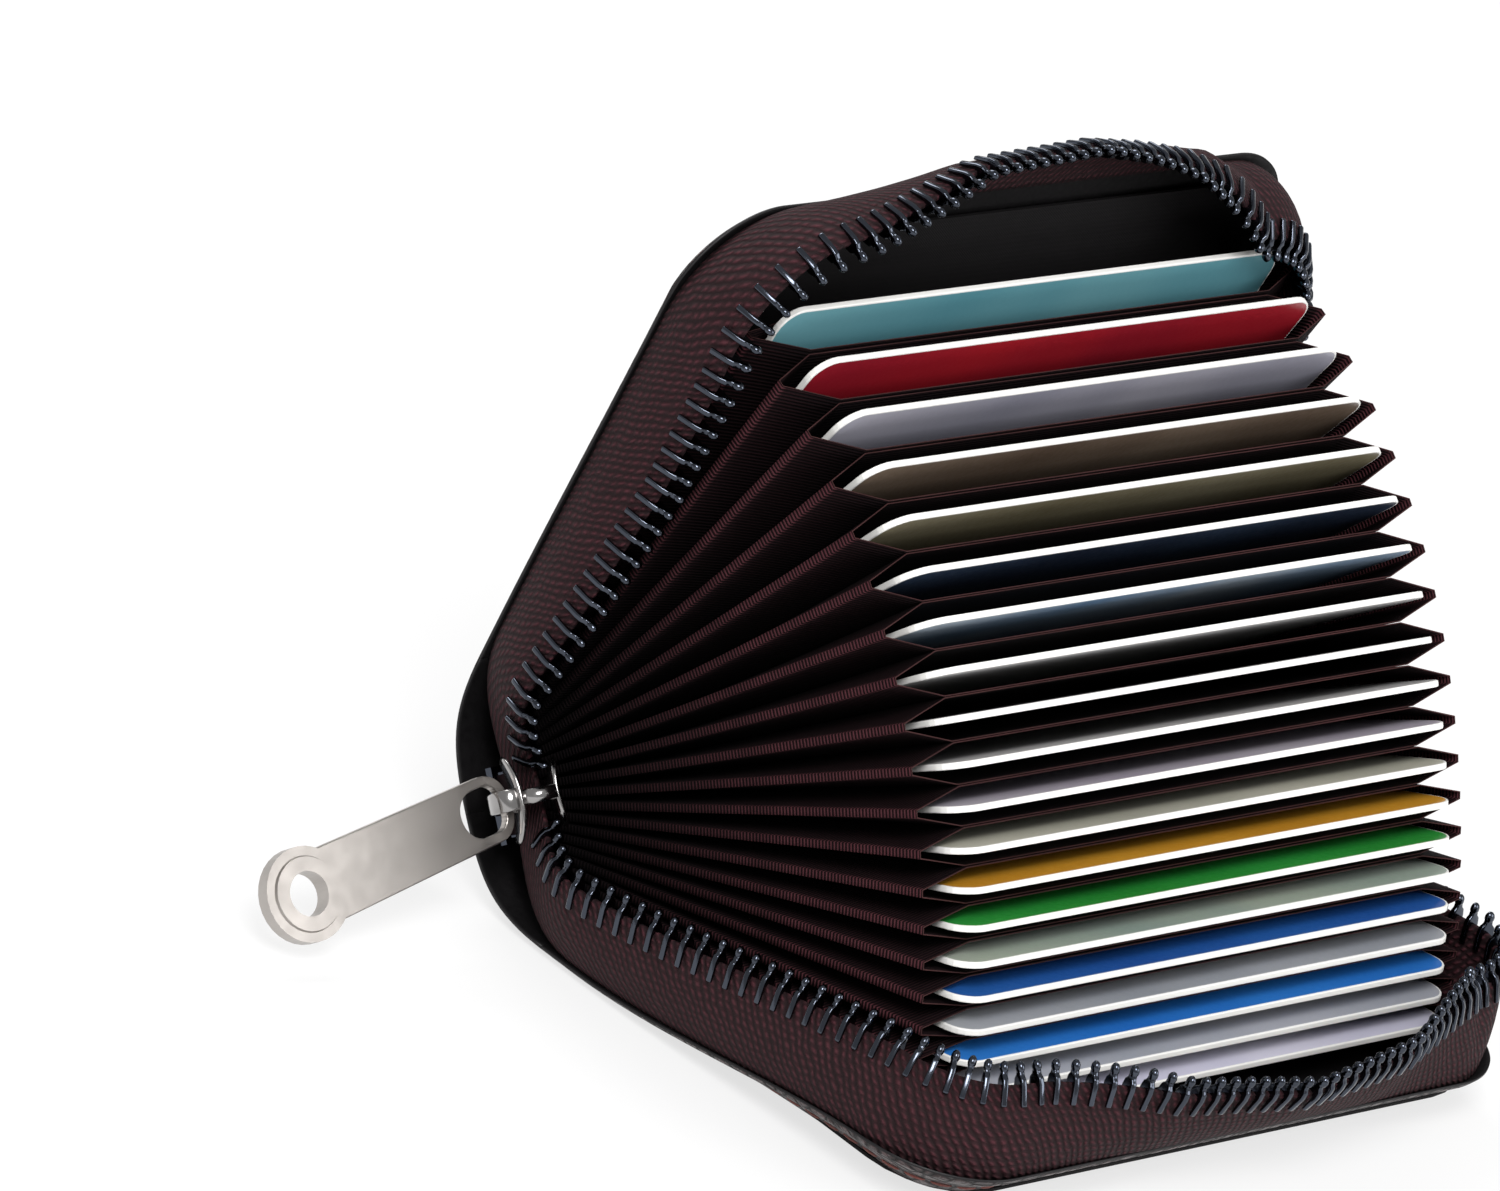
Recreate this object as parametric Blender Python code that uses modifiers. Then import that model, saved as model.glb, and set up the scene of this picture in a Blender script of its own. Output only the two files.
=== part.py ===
"""Zip-around accordion wallet, standing open on its back cover.

X runs along the spine, the mouth looks towards -Y and +Z is up. The origin is the centre of the back
cover's flat underside. Each cover, the spine, each pocket, the slider and the pull tab are built in a frame
of their own: an empty on the line that the piece turns about.

In a cover's frame x runs along the fold, y goes from the fold to the mouth and z from the skin inward.
In the spine's frame y goes from the back fold to the front fold and z points into the wallet.
In a pocket's frame z goes from the spine to the mouth and y towards the front cover.
"""
from math import cos, pi, radians, sin, tan

import bmesh
import bpy
from mathutils import Matrix, Vector

MM = 0.001

# Cards, the standard bank card
CARD_COUNT = 20
CARD_LENGTH = 85.6 * MM
CARD_WIDTH = 53.98 * MM
CARD_THICKNESS = 0.76 * MM
CARD_CORNER = 3.18 * MM

# Layers of a cover, from the outer skin inward
PAD_RISE = 0.5 * MM
LEATHER = 0.9 * MM
BOARD = 0.5 * MM
LINING = 0.4 * MM
LAYER_GAP = 0.3 * MM

# Covers
COVER_CORNER = 7.5 * MM
HEM = 5 * MM
PAD_EDGE = 0.35 * MM
PAD_CORNER = 5 * MM
BOARD_INSET = 6.5 * MM
BOARD_CORNER = 6 * MM
FOLD_GAP = 0.3 * MM

# Fan of pockets
OPEN_ANGLE = radians(40)
FAN_TOP = radians(35)
FAN_FIRST_STEP = radians(5.9)
FAN_LAST_STEP = radians(2.15)
FAN_PITCH = 1.08 * MM
FAN_MARGIN = 0.2 * MM
POCKET_SEAT = 0.25 * MM
POCKET_FOOT = 0.4 * MM
POCKET_MIDDLE = 30 * MM
POCKET_SIDE = 4 * MM
POCKET_TUCK = 3.3 * MM
POCKET_END = 0.92 * MM
POCKET_OUTER_WALL = radians(1)
PLY = 0.13 * MM
PLY_GAP = 0.08 * MM
CARD_FOOT = 8.5 * MM
CARD_FOOT_CLEARANCE = 0.4 * MM
CARD_SHOWS = 3.18 * MM

# Zip
ZIP_START = 10.8 * MM
ZIP_INSET = 1.8 * MM
ZIP_CORNER = 12.5 * MM
TAPE = 0.6 * MM
TAPE_LEAN = 1.4 * MM
TAPE_BOW = 0.5 * MM
TAPE_EDGE = 2.6 * MM
LINING_CLEARANCE = 0.4 * MM
MOUTH_CLEARANCE = 1.37 * MM
SLIDER_CLEARANCE = 1.05 * MM
TOOTH_PITCH = 2.85 * MM
TOOTH_WIDTH = 1.15 * MM
TOOTH_SPAN = 2.4 * MM
TOOTH_TIP_SPAN = 1.5 * MM
TOOTH_LEG = 2.3 * MM
TOOTH_REACH = 0.9 * MM
STOP_WIDTH = 2.6 * MM
STOP_GAP = 0.6 * MM

# Slider
SLIDER_FOOT = 3.2 * MM
SLIDER_LENGTH = 7.4 * MM
SLIDER_HEAD_WIDTH = 10.6 * MM
SLIDER_TAIL_WIDTH = 8.6 * MM
SLIDER_CORNER = 1.8 * MM
PLATE = 1 * MM
PLATE_EDGE = 0.2 * MM
CHANNEL = 4.2 * MM
RAIL_WIDTH = 0.9 * MM
RAIL_LENGTH = 4.2 * MM
POST_WIDTH = 2.2 * MM
POST_LENGTH = 2.6 * MM
BRIDGE_WIDTH = 3 * MM
BRIDGE_LENGTH = 6.6 * MM
BRIDGE_OPENING = 2.7 * MM
BRIDGE_BAR = 1 * MM
BRIDGE_CORNER = 1.5 * MM
SINK = 0.2 * MM

# Tape tail and bottom stop under the slider
TAIL_WIDTH = 7 * MM
TAIL_CLEARANCE = 0.9 * MM
BOTTOM_STOP_WALL = 0.7 * MM
BOTTOM_STOP_HEIGHT = 0.9 * MM

# Pull tab
TAB_REACH = 30 * MM
TAB_THICKNESS = 1.2 * MM
TAB_EYE_WIDTH = 7.8 * MM
TAB_BOSS_END_WIDTH = 8.8 * MM
TAB_BAR = 1.1 * MM
TAB_WINDOW_WIDTH = 5.6 * MM
TAB_WINDOW_LENGTH = 6 * MM
TAB_EYE_CORNER = 3 * MM
TAB_EDGE = 0.15 * MM
BOSS_RADIUS = 5.5 * MM
BOSS_HOLE_RADIUS = 2.6 * MM
BOSS_THICKNESS = 2.4 * MM
BOSS_RIM = 1.1 * MM
BOSS_DISH = 0.3 * MM
TAB_SWING = radians(9.8)
TAB_SKEW = radians(11.9)

# How finely round shapes are divided and points joined
ARC_STEPS = 6
RING_STEPS = 32
TAPE_ROWS = 3
OVERRUN = 2 * MM
WELD = 0.01 * MM

# Sizes that follow from those above
SKIN = PAD_RISE + LEATHER
BOARD_LOW = SKIN + LAYER_GAP
LINING_LOW = BOARD_LOW + BOARD + LAYER_GAP
COVER_STACK = LINING_LOW + LINING
SPINE_STACK = SKIN + LAYER_GAP + BOARD + LAYER_GAP + LINING
POCKET_LENGTH = CARD_LENGTH + 2 * POCKET_SIDE
POCKET_FLAT = CARD_LENGTH - 2 * POCKET_TUCK
POCKET_HEIGHT = CARD_FOOT + CARD_WIDTH - CARD_SHOWS
PLATE_OUT = CHANNEL / 2 + PLATE
COVER_LENGTH = POCKET_LENGTH + 2 * (SLIDER_CLEARANCE + PLATE_OUT + ZIP_INSET)
CARD_TOP = COVER_STACK + POCKET_SEAT + CARD_FOOT + CARD_WIDTH
COVER_DEPTH = CARD_TOP + MOUTH_CLEARANCE + TAPE / 2 + TAPE_LEAN + ZIP_INSET
FAN_ROOM = CARD_COUNT * FAN_PITCH + 2 * FAN_MARGIN
WALLET_THICKNESS = 2 * COVER_STACK + FAN_ROOM
MID_PLANE = WALLET_THICKNESS / 2
TAPE_TOP = MID_PLANE - TAPE_EDGE
TAPE_FOOT = SKIN + LAYER_GAP
LINING_INSET = ZIP_INSET + TAPE_LEAN + TAPE / 2 + LINING_CLEARANCE
LINING_CORNER = ZIP_CORNER + ZIP_INSET - LINING_INSET
CHAIN_X = -COVER_LENGTH / 2 + ZIP_INSET
PIVOT_RISE = BRIDGE_OPENING / 2
SLIDER_MIDDLE = SLIDER_FOOT + SLIDER_LENGTH / 2
POST_DROP = PLATE_EDGE + SINK
TAIL_TOP = SLIDER_FOOT + SLIDER_LENGTH - POST_DROP - POST_LENGTH - TAIL_CLEARANCE

CARD_COLOURS = [
    ("cyan", (0.20, 0.50, 0.56)), ("red", (0.45, 0.03, 0.04)), ("lilac", (0.42, 0.41, 0.50)),
    ("brown", (0.16, 0.11, 0.08)), ("olive", (0.22, 0.19, 0.12)), ("navy", (0.05, 0.06, 0.12)),
    ("sky", (0.30, 0.48, 0.66)), ("white", (0.72, 0.72, 0.74)), ("white", (0.70, 0.70, 0.72)),
    ("white", (0.74, 0.73, 0.74)), ("mauve", (0.50, 0.46, 0.54)), ("cream", (0.56, 0.56, 0.48)),
    ("orange", (0.70, 0.36, 0.05)), ("green", (0.04, 0.32, 0.07)), ("teal", (0.36, 0.44, 0.42)),
    ("deep_blue", (0.03, 0.10, 0.36)), ("grey", (0.34, 0.35, 0.38)), ("blue", (0.04, 0.20, 0.62)),
    ("silver", (0.40, 0.41, 0.44)), ("pale_lilac", (0.60, 0.60, 0.72)),
]


def clear_scene():
    for old in list(bpy.data.objects):
        bpy.data.objects.remove(old, do_unlink=True)


def new_collection(name):
    made = bpy.data.collections.new(name)
    bpy.context.scene.collection.children.link(made)
    return made


def new_material(name, colour, roughness, metallic=0.0):
    made = bpy.data.materials.new(name)
    made.use_nodes = True
    shader = made.node_tree.nodes["Principled BSDF"]
    shader.inputs["Base Color"].default_value = (*colour, 1)
    shader.inputs["Roughness"].default_value = roughness
    shader.inputs["Metallic"].default_value = metallic
    return made


def new_axis(name, matrix, parent=None):
    """An empty on a joint's axis; matrix is given in the parent's frame."""
    axis = bpy.data.objects.new(name, None)
    PARTS.objects.link(axis)
    axis.parent = parent
    axis.matrix_basis = matrix
    return axis


def add_object(name, data, parent, colour=None, collection=None):
    made = bpy.data.objects.new(name, data)
    (collection or PARTS).objects.link(made)
    made.parent = parent
    if colour is not None:
        made.data.materials.append(colour)
    return made


def rounded_outline(corners, radii, steps=ARC_STEPS):
    """Points of a counterclockwise polygon whose corners are rounded, each with its own radius."""
    points = []
    count = len(corners)
    for index, corner in enumerate(corners):
        here = Vector(corner)
        back = (Vector(corners[index - 1]) - here).normalized()
        ahead = (Vector(corners[(index + 1) % count]) - here).normalized()
        radius = radii[index]
        if radius == 0:
            points.append(here)
            continue
        half = back.angle(ahead) / 2
        middle = (back + ahead).normalized()
        centre = here + middle * radius / sin(half)
        first = here + back * radius / tan(half) - centre
        turn = pi - 2 * half
        for step in range(steps + 1):
            points.append(centre + Matrix.Rotation(turn * step / steps, 2) @ first)
    return points


def circle_outline(centre, radius, steps=RING_STEPS):
    turns = [2 * pi * step / steps for step in range(steps)]
    return [Vector((centre[0] + radius * cos(a), centre[1] + radius * sin(a))) for a in turns]


def flat_piece(name, outlines, low, high, parent, colour=None, edge=0, collection=None):
    """A flat outline, with any holes, as thick as low to high along its frame's z; edge rounds its rim."""
    curve = bpy.data.curves.new(name, "CURVE")
    curve.dimensions = "2D"
    curve.fill_mode = "BOTH"
    for outline in outlines:
        spline = curve.splines.new("POLY")
        spline.points.add(len(outline) - 1)
        for point, place in zip(spline.points, outline):
            point.co = (place[0], place[1], 0, 1)
        spline.use_cyclic_u = True
    curve.extrude = (high - low) / 2 - edge
    curve.bevel_depth = edge
    curve.bevel_resolution = 1
    curve.offset = -edge
    made = add_object(name, curve, parent, colour, collection)
    made.location.z = (low + high) / 2
    return made


def as_mesh(source, matrix=None):
    """The curve object as a welded mesh object of the same name, place and material."""
    bpy.context.view_layer.update()
    evaluated = source.evaluated_get(bpy.context.evaluated_depsgraph_get())
    mesh = bpy.data.meshes.new_from_object(evaluated)
    name, parent = source.name, source.parent
    home = source.users_collection[0]
    basis = matrix if matrix is not None else source.matrix_basis.copy()
    bpy.data.objects.remove(source, do_unlink=True)
    work = bmesh.new()
    work.from_mesh(mesh)
    bmesh.ops.remove_doubles(work, verts=work.verts, dist=WELD)
    bmesh.ops.recalc_face_normals(work, faces=work.faces)
    work.to_mesh(mesh)
    work.free()
    made = bpy.data.objects.new(name, mesh)
    home.objects.link(made)
    made.parent = parent
    made.matrix_basis = basis
    return made


def block(name, low, high, parent, colour=None, collection=None):
    """A box between two corners of its frame."""
    mesh = bpy.data.meshes.new(name)
    work = bmesh.new()
    bmesh.ops.create_cube(work, size=1)
    size = Vector(high) - Vector(low)
    centre = (Vector(high) + Vector(low)) / 2
    place = Matrix.Translation(centre) @ Matrix.Diagonal((*size, 1))
    bmesh.ops.transform(work, matrix=place, verts=work.verts)
    work.to_mesh(mesh)
    work.free()
    return add_object(name, mesh, parent, colour, collection)


def combine(target, other, operation):
    """Cuts or joins target with other, which becomes a hidden tool."""
    change = target.modifiers.new(other.name, "BOOLEAN")
    change.object = other
    change.operation = operation
    change.solver = "EXACT"
    other.hide_render = True
    other.display_type = "WIRE"


def fold_cutter(name, parent, at, towards):
    """A block whose face leans 45 degrees through the fold line, so that two leathers mitre when shut."""
    half_length = COVER_LENGTH / 2 + OVERRUN
    reach = SKIN + OVERRUN
    shift = FOLD_GAP / 2
    cutter = block(name, (-half_length, -2 * reach, -2 * reach), (half_length, 0, 2 * reach), parent,
                   collection=TOOLS)
    lean = Matrix.Rotation(-pi / 4 if towards > 0 else pi / 4 + pi, 4, "X")
    cutter.matrix_basis = Matrix.Translation((0, at, 0)) @ lean @ Matrix.Translation((0, shift, 0))
    return cutter


def cover_outline(inset, corner, start):
    """A cover's outline, drawn in by inset on its three open sides, from start to the mouth."""
    half = COVER_LENGTH / 2 - inset
    mouth = COVER_DEPTH - inset
    corners = [(-half, start), (half, start), (half, mouth), (-half, mouth)]
    return rounded_outline(corners, [0, 0, corner, corner])


def cover_leather(name, parent):
    """The outer skin: a hem with a raised padded field that runs on over the fold."""
    outline = cover_outline(0, COVER_CORNER, -SKIN)
    skin = as_mesh(flat_piece(name, [outline], PAD_RISE, SKIN, parent, LEATHER_LOOK))
    pad_outline = cover_outline(HEM, PAD_CORNER, -2 * SKIN)
    pad = as_mesh(flat_piece(name + "_pad", [pad_outline], 0, SKIN - SINK, parent, edge=PAD_EDGE,
                             collection=TOOLS))
    combine(skin, pad, "UNION")
    combine(skin, fold_cutter(name + "_mitre", parent, 0, 1), "DIFFERENCE")
    return skin


def spine_leather(parent):
    half = COVER_LENGTH / 2
    field = half - HEM
    skin = block("spine_leather", (-half, -SKIN, PAD_RISE), (half, WALLET_THICKNESS + SKIN, SKIN), parent,
                 LEATHER_LOOK)
    pad_corners = [(-field, -2 * SKIN), (field, -2 * SKIN), (field, WALLET_THICKNESS + 2 * SKIN),
                   (-field, WALLET_THICKNESS + 2 * SKIN)]
    pad = as_mesh(flat_piece("spine_leather_pad", [pad_corners], 0, SKIN - SINK, parent, edge=PAD_EDGE,
                             collection=TOOLS))
    combine(skin, pad, "UNION")
    combine(skin, fold_cutter("spine_leather_back_mitre", parent, 0, 1), "DIFFERENCE")
    combine(skin, fold_cutter("spine_leather_front_mitre", parent, WALLET_THICKNESS, -1), "DIFFERENCE")
    return skin


def cover_layers(side, parent):
    board_start = SPINE_STACK + LAYER_GAP
    flat_piece(side + "_board", [cover_outline(BOARD_INSET, BOARD_CORNER, board_start)],
               BOARD_LOW, BOARD_LOW + BOARD, parent, BOARD_LOOK)
    flat_piece(side + "_lining", [cover_outline(LINING_INSET, LINING_CORNER, board_start)],
               LINING_LOW, COVER_STACK, parent, LINING_LOOK)


def spine_layers(parent):
    half_board = COVER_LENGTH / 2 - BOARD_INSET
    half_lining = COVER_LENGTH / 2 - LINING_INSET
    low = SKIN + LAYER_GAP
    edge = COVER_STACK + LAYER_GAP
    end = WALLET_THICKNESS - edge
    block("spine_board", (-half_board, edge, low), (half_board, end, low + BOARD), parent, BOARD_LOOK)
    block("spine_lining", (-half_lining, edge, SPINE_STACK - LINING), (half_lining, end, SPINE_STACK),
          parent, LINING_LOOK)


def chain_place(run, side):
    """Where the zip chain is after run along it from the middle of the mouth, and the way outward there."""
    straight = COVER_LENGTH / 2 - ZIP_INSET - ZIP_CORNER
    quarter = ZIP_CORNER * pi / 2
    deep = COVER_DEPTH - ZIP_INSET
    if run <= straight:
        return Vector((side * run, deep)), Vector((0, 1))
    if run <= straight + quarter:
        angle = (run - straight) / ZIP_CORNER
        outward = Vector((side * sin(angle), cos(angle)))
        return Vector((side * straight, deep - ZIP_CORNER)) + outward * ZIP_CORNER, outward
    rest = run - straight - quarter
    return Vector((side * (straight + ZIP_CORNER), deep - ZIP_CORNER - rest)), Vector((side, 0))


def chain_half_length():
    straight = COVER_LENGTH / 2 - ZIP_INSET - ZIP_CORNER
    side_length = COVER_DEPTH - ZIP_INSET - ZIP_CORNER - ZIP_START
    return straight + ZIP_CORNER * pi / 2 + side_length


def chain_point(run):
    return chain_place(abs(run), 1 if run >= 0 else -1)


def tape_runs():
    """Places along the chain where the tape has a row of points: few on straights, more on corners."""
    straight = COVER_LENGTH / 2 - ZIP_INSET - ZIP_CORNER
    corner_end = straight + ZIP_CORNER * pi / 2
    half = [straight * step / 2 for step in range(2)]
    half += [straight + (corner_end - straight) * step / ARC_STEPS for step in range(ARC_STEPS + 1)]
    half += [(corner_end + chain_half_length()) / 2, chain_half_length()]
    return [-run for run in reversed(half[1:])] + half


def zip_tape(name, parent):
    """The tape stands on the hem, leans outward and bows a little; a sheet with thickness."""
    mesh = bpy.data.meshes.new(name)
    work = bmesh.new()
    columns = []
    for run in tape_runs():
        place, outward = chain_point(run)
        column = []
        for row in range(TAPE_ROWS + 1):
            share = row / TAPE_ROWS
            height = TAPE_FOOT + (TAPE_TOP - TAPE_FOOT) * share
            inward = TAPE_LEAN * (1 - share) - TAPE_BOW * sin(pi * share)
            spot = place - outward * inward
            column.append(work.verts.new((spot.x, spot.y, height)))
        columns.append(column)
    for left, right in zip(columns, columns[1:]):
        for row in range(TAPE_ROWS):
            work.faces.new((left[row], right[row], right[row + 1], left[row + 1]))
    work.to_mesh(mesh)
    work.free()
    tape = add_object(name, mesh, parent, TAPE_LOOK)
    thicken = tape.modifiers.new("thickness", "SOLIDIFY")
    thicken.thickness = TAPE
    thicken.offset = 0
    return tape


def clamp_outline(slot):
    """A clamp seen along the chain: its head narrows to the tip; one with a slot sits astride the tape."""
    outer = TOOTH_SPAN / 2
    tip = TOOTH_TIP_SPAN / 2
    throat = TAPE_TOP + LAYER_GAP
    foot = throat - TOOTH_LEG
    shoulder = MID_PLANE - TOOTH_REACH
    top = MID_PLANE + TOOTH_REACH
    legs = [(-outer, foot), (outer, foot)]
    if slot:
        top = MID_PLANE - LAYER_GAP / 2
        half = TAPE / 2 + LAYER_GAP
        legs = [(-outer, foot), (-half, foot), (-half, throat), (half, throat), (half, foot), (outer, foot)]
    return legs + [(outer, shoulder), (tip, top), (-tip, top), (-outer, shoulder)]


def clamp_mesh(name, width, slot):
    """The mesh of one clamp, standing at the origin, its width along x."""
    flat = flat_piece(name, [clamp_outline(slot)], -width / 2, width / 2, None, collection=TOOLS)
    solid = as_mesh(flat, Matrix.Identity(4))
    upright = Matrix(((0, 0, 1), (1, 0, 0), (0, 1, 0))).to_4x4()
    mesh = solid.data
    mesh.transform(upright)
    bpy.data.objects.remove(solid, do_unlink=True)
    return mesh


def clamps_on_chain(name, width, slot, runs, parent, colour=None, collection=None):
    """One mesh object of equal clamps that stand on the chain at the given runs."""
    clamp = clamp_mesh(name + "_one", width, slot)
    work = bmesh.new()
    for run in runs:
        place, outward = chain_point(run)
        turn = Matrix(((outward.y, outward.x, 0), (-outward.x, outward.y, 0), (0, 0, 1))).to_4x4()
        copy = clamp.copy()
        copy.transform(Matrix.Translation((place.x, place.y, 0)) @ turn)
        work.from_mesh(copy)
        bpy.data.meshes.remove(copy)
    mesh = bpy.data.meshes.new(name)
    work.to_mesh(mesh)
    work.free()
    return add_object(name, mesh, parent, colour, collection)


def zip_half(side, parent):
    """One tape with its row of teeth; the quarter step makes the two rows mesh when the covers shut."""
    room = chain_half_length() - STOP_WIDTH - STOP_GAP
    count = int(2 * room / TOOTH_PITCH) - 1
    runs = [(index - (count - 1) / 2 + 0.25) * TOOTH_PITCH for index in range(count)]
    tape = zip_tape(side + "_zip_half", parent)
    teeth = clamps_on_chain(side + "_zip_teeth", TOOTH_WIDTH, False, runs, parent, collection=TOOLS)
    combine(tape, teeth, "UNION")
    return tape


def zip_end_stop(side, parent, direction):
    """The clamp that ends a row of teeth at its far end."""
    run = direction * (chain_half_length() - STOP_WIDTH / 2)
    return clamps_on_chain(side + "_zip_stop", STOP_WIDTH, True, [run], parent, METAL_LOOK)


def zip_tail(parent):
    """The two tapes' ends, sewn to the spine and running up into the slider."""
    block("zip_tail", (CHAIN_X - TAPE / 2, MID_PLANE - TAIL_WIDTH / 2, TAPE_FOOT),
          (CHAIN_X + TAPE / 2, MID_PLANE + TAIL_WIDTH / 2, TAIL_TOP), parent, TAPE_LOOK)


def bottom_stop(parent):
    """A clip round the tape tail, under the slider."""
    top = SLIDER_FOOT - LAYER_GAP
    slot_x = TAPE / 2 + LAYER_GAP
    slot_y = TAIL_WIDTH / 2 + LAYER_GAP
    half_x = slot_x + BOTTOM_STOP_WALL
    half_y = slot_y + BOTTOM_STOP_WALL
    clip = block("zip_bottom_stop", (CHAIN_X - half_x, MID_PLANE - half_y, top - BOTTOM_STOP_HEIGHT),
                 (CHAIN_X + half_x, MID_PLANE + half_y, top), parent, METAL_LOOK)
    slot = block("zip_bottom_stop_slot", (CHAIN_X - slot_x, MID_PLANE - slot_y, top - OVERRUN),
                 (CHAIN_X + slot_x, MID_PLANE + slot_y, top + OVERRUN), parent, collection=TOOLS)
    combine(clip, slot, "DIFFERENCE")


def slider_frame():
    """From the slider's frame to the spine's: x along the wallet's width, y along the chain, z outward."""
    axes = Matrix(((0, 0, -1), (-1, 0, 0), (0, 1, 0))).to_4x4()
    return Matrix.Translation((CHAIN_X, MID_PLANE, SLIDER_MIDDLE)) @ axes


def slider_body(parent):
    """Two plates held apart by a post, with rails that guide the tape and a bridge for the pull tab."""
    head = SLIDER_HEAD_WIDTH / 2
    tail = SLIDER_TAIL_WIDTH / 2
    half = SLIDER_LENGTH / 2
    corners = [(-tail, -half), (tail, -half), (head, half), (-head, half)]
    outline = rounded_outline(corners, [SLIDER_CORNER] * 4)
    body = as_mesh(flat_piece("zip_slider", [outline], CHANNEL / 2, PLATE_OUT, parent, METAL_LOOK,
                              edge=PLATE_EDGE))
    inner = as_mesh(flat_piece("zip_slider_inner_plate", [outline], -PLATE_OUT, -CHANNEL / 2, parent,
                               edge=PLATE_EDGE, collection=TOOLS))
    combine(body, inner, "UNION")
    post_top = half - POST_DROP
    post = block("zip_slider_post", (-POST_WIDTH / 2, post_top - POST_LENGTH, -CHANNEL / 2 - SINK),
                 (POST_WIDTH / 2, post_top, CHANNEL / 2 + SINK), parent, collection=TOOLS)
    combine(body, post, "UNION")
    for across in (-1, 1):
        for face in (-1, 1):
            combine(body, slider_rail(across, face, parent), "UNION")
    combine(body, slider_bridge(parent), "UNION")
    return body


def slider_rail(across, face, parent):
    """One of the four rails; across picks its side of the slider and face its plate."""
    outside = SLIDER_TAIL_WIDTH / 2 - PLATE_EDGE - SINK
    left, right = sorted((across * outside, across * (outside - RAIL_WIDTH)))
    low, high = sorted((face * (TAPE / 2 + LAYER_GAP), face * (CHANNEL / 2 + SINK)))
    start = SLIDER_CORNER - SLIDER_LENGTH / 2
    name = "zip_slider_rail_{}_{}".format(across, face)
    return block(name, (left, start, low), (right, start + RAIL_LENGTH, high), parent, collection=TOOLS)


def slider_bridge(parent):
    """The loop on the outer plate, drawn as seen across the slider and as wide as BRIDGE_WIDTH."""
    half = BRIDGE_LENGTH / 2
    top = BRIDGE_OPENING + BRIDGE_BAR
    outer = rounded_outline([(-half, -SINK), (half, -SINK), (half, top), (-half, top)],
                            [0, 0, BRIDGE_CORNER, BRIDGE_CORNER])
    clear = half - BRIDGE_BAR
    corner = BRIDGE_CORNER - BRIDGE_BAR
    inner = rounded_outline([(-clear, 0), (clear, 0), (clear, BRIDGE_OPENING), (-clear, BRIDGE_OPENING)],
                            [0, 0, corner, corner])
    loop = flat_piece("zip_slider_bridge", [outer, inner], -BRIDGE_WIDTH / 2, BRIDGE_WIDTH / 2, parent,
                      collection=TOOLS)
    stand = Matrix(((0, 0, 1), (1, 0, 0), (0, 1, 0))).to_4x4()
    return as_mesh(loop, Matrix.Translation((0, 0, PLATE_OUT)) @ stand)


def pull_tab(parent):
    """A tapered tab with an eye at the bridge and a turned ring at its free end; x runs along it."""
    eye = TAB_EYE_WIDTH / 2
    wide = TAB_BOSS_END_WIDTH / 2
    near = -TAB_BAR / 2
    outline = rounded_outline([(near, -eye), (TAB_REACH, -wide), (TAB_REACH, wide), (near, eye)],
                              [TAB_EYE_CORNER, 0, 0, TAB_EYE_CORNER])
    window_half = TAB_WINDOW_WIDTH / 2
    window_end = TAB_BAR / 2 + TAB_WINDOW_LENGTH
    window = rounded_outline([(TAB_BAR / 2, -window_half), (window_end, -window_half),
                              (window_end, window_half), (TAB_BAR / 2, window_half)],
                             [TAB_EYE_CORNER - TAB_BAR, window_half - SINK, window_half - SINK,
                              TAB_EYE_CORNER - TAB_BAR])
    tab = as_mesh(flat_piece("pull_tab", [outline, window], -TAB_THICKNESS / 2, TAB_THICKNESS / 2, parent,
                             METAL_LOOK, edge=TAB_EDGE))
    ring_middle = (BOSS_RADIUS + BOSS_HOLE_RADIUS) / 2
    bore = flat_piece("pull_tab_bore", [circle_outline((TAB_REACH, 0), ring_middle)], -TAB_THICKNESS,
                      TAB_THICKNESS, parent, collection=TOOLS)
    combine(tab, as_mesh(bore), "DIFFERENCE")
    combine(tab, boss(parent), "UNION")
    return tab


def boss(parent):
    """The turned ring: a raised rim round a dished face with a bore."""
    half = BOSS_THICKNESS / 2
    dish = half - BOSS_DISH
    outer, hole = BOSS_RADIUS, BOSS_HOLE_RADIUS
    chamfer = TAB_EDGE
    step = outer - BOSS_RIM
    profile = [(hole, half), (step - chamfer, half), (step, dish), (outer, dish), (outer, -dish),
               (step, -dish), (step - chamfer, -half), (hole, -half)]
    count = len(profile)
    edges = [(index, (index + 1) % count) for index in range(count)]
    mesh = bpy.data.meshes.new("pull_tab_boss")
    mesh.from_pydata([(x, 0, z) for x, z in profile], edges, [])
    ring = add_object("pull_tab_boss", mesh, parent, collection=TOOLS)
    ring.location.x = TAB_REACH
    turned = ring.modifiers.new("turned", "SCREW")
    turned.steps = RING_STEPS
    turned.render_steps = RING_STEPS
    turned.use_merge_vertices = True
    turned.merge_threshold = WELD
    return ring


def fan_angles():
    """Each pocket's lean from the spine's normal; the steps shrink evenly by a constant ratio."""
    ratio = (FAN_LAST_STEP / FAN_FIRST_STEP) ** (1 / (CARD_COUNT - 2))
    angles = [FAN_TOP]
    for step in range(CARD_COUNT - 1):
        angles.append(angles[-1] - FAN_FIRST_STEP * ratio ** step)
    return angles


def wall_line(angle, neighbour):
    """The line midway to a neighbouring pocket, in this pocket's frame: distance at the root and slope."""
    if neighbour is None:
        lean = POCKET_OUTER_WALL
        return FAN_PITCH / 2 * cos(angle), lean
    lean = abs(neighbour - angle) / 2
    side = 1 if neighbour > angle else -1
    half = FAN_PITCH / 2
    root = half * cos(angle) - side * half * sin(angle) * tan(lean)
    return root - PLY_GAP / 2 / cos(lean), lean


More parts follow.
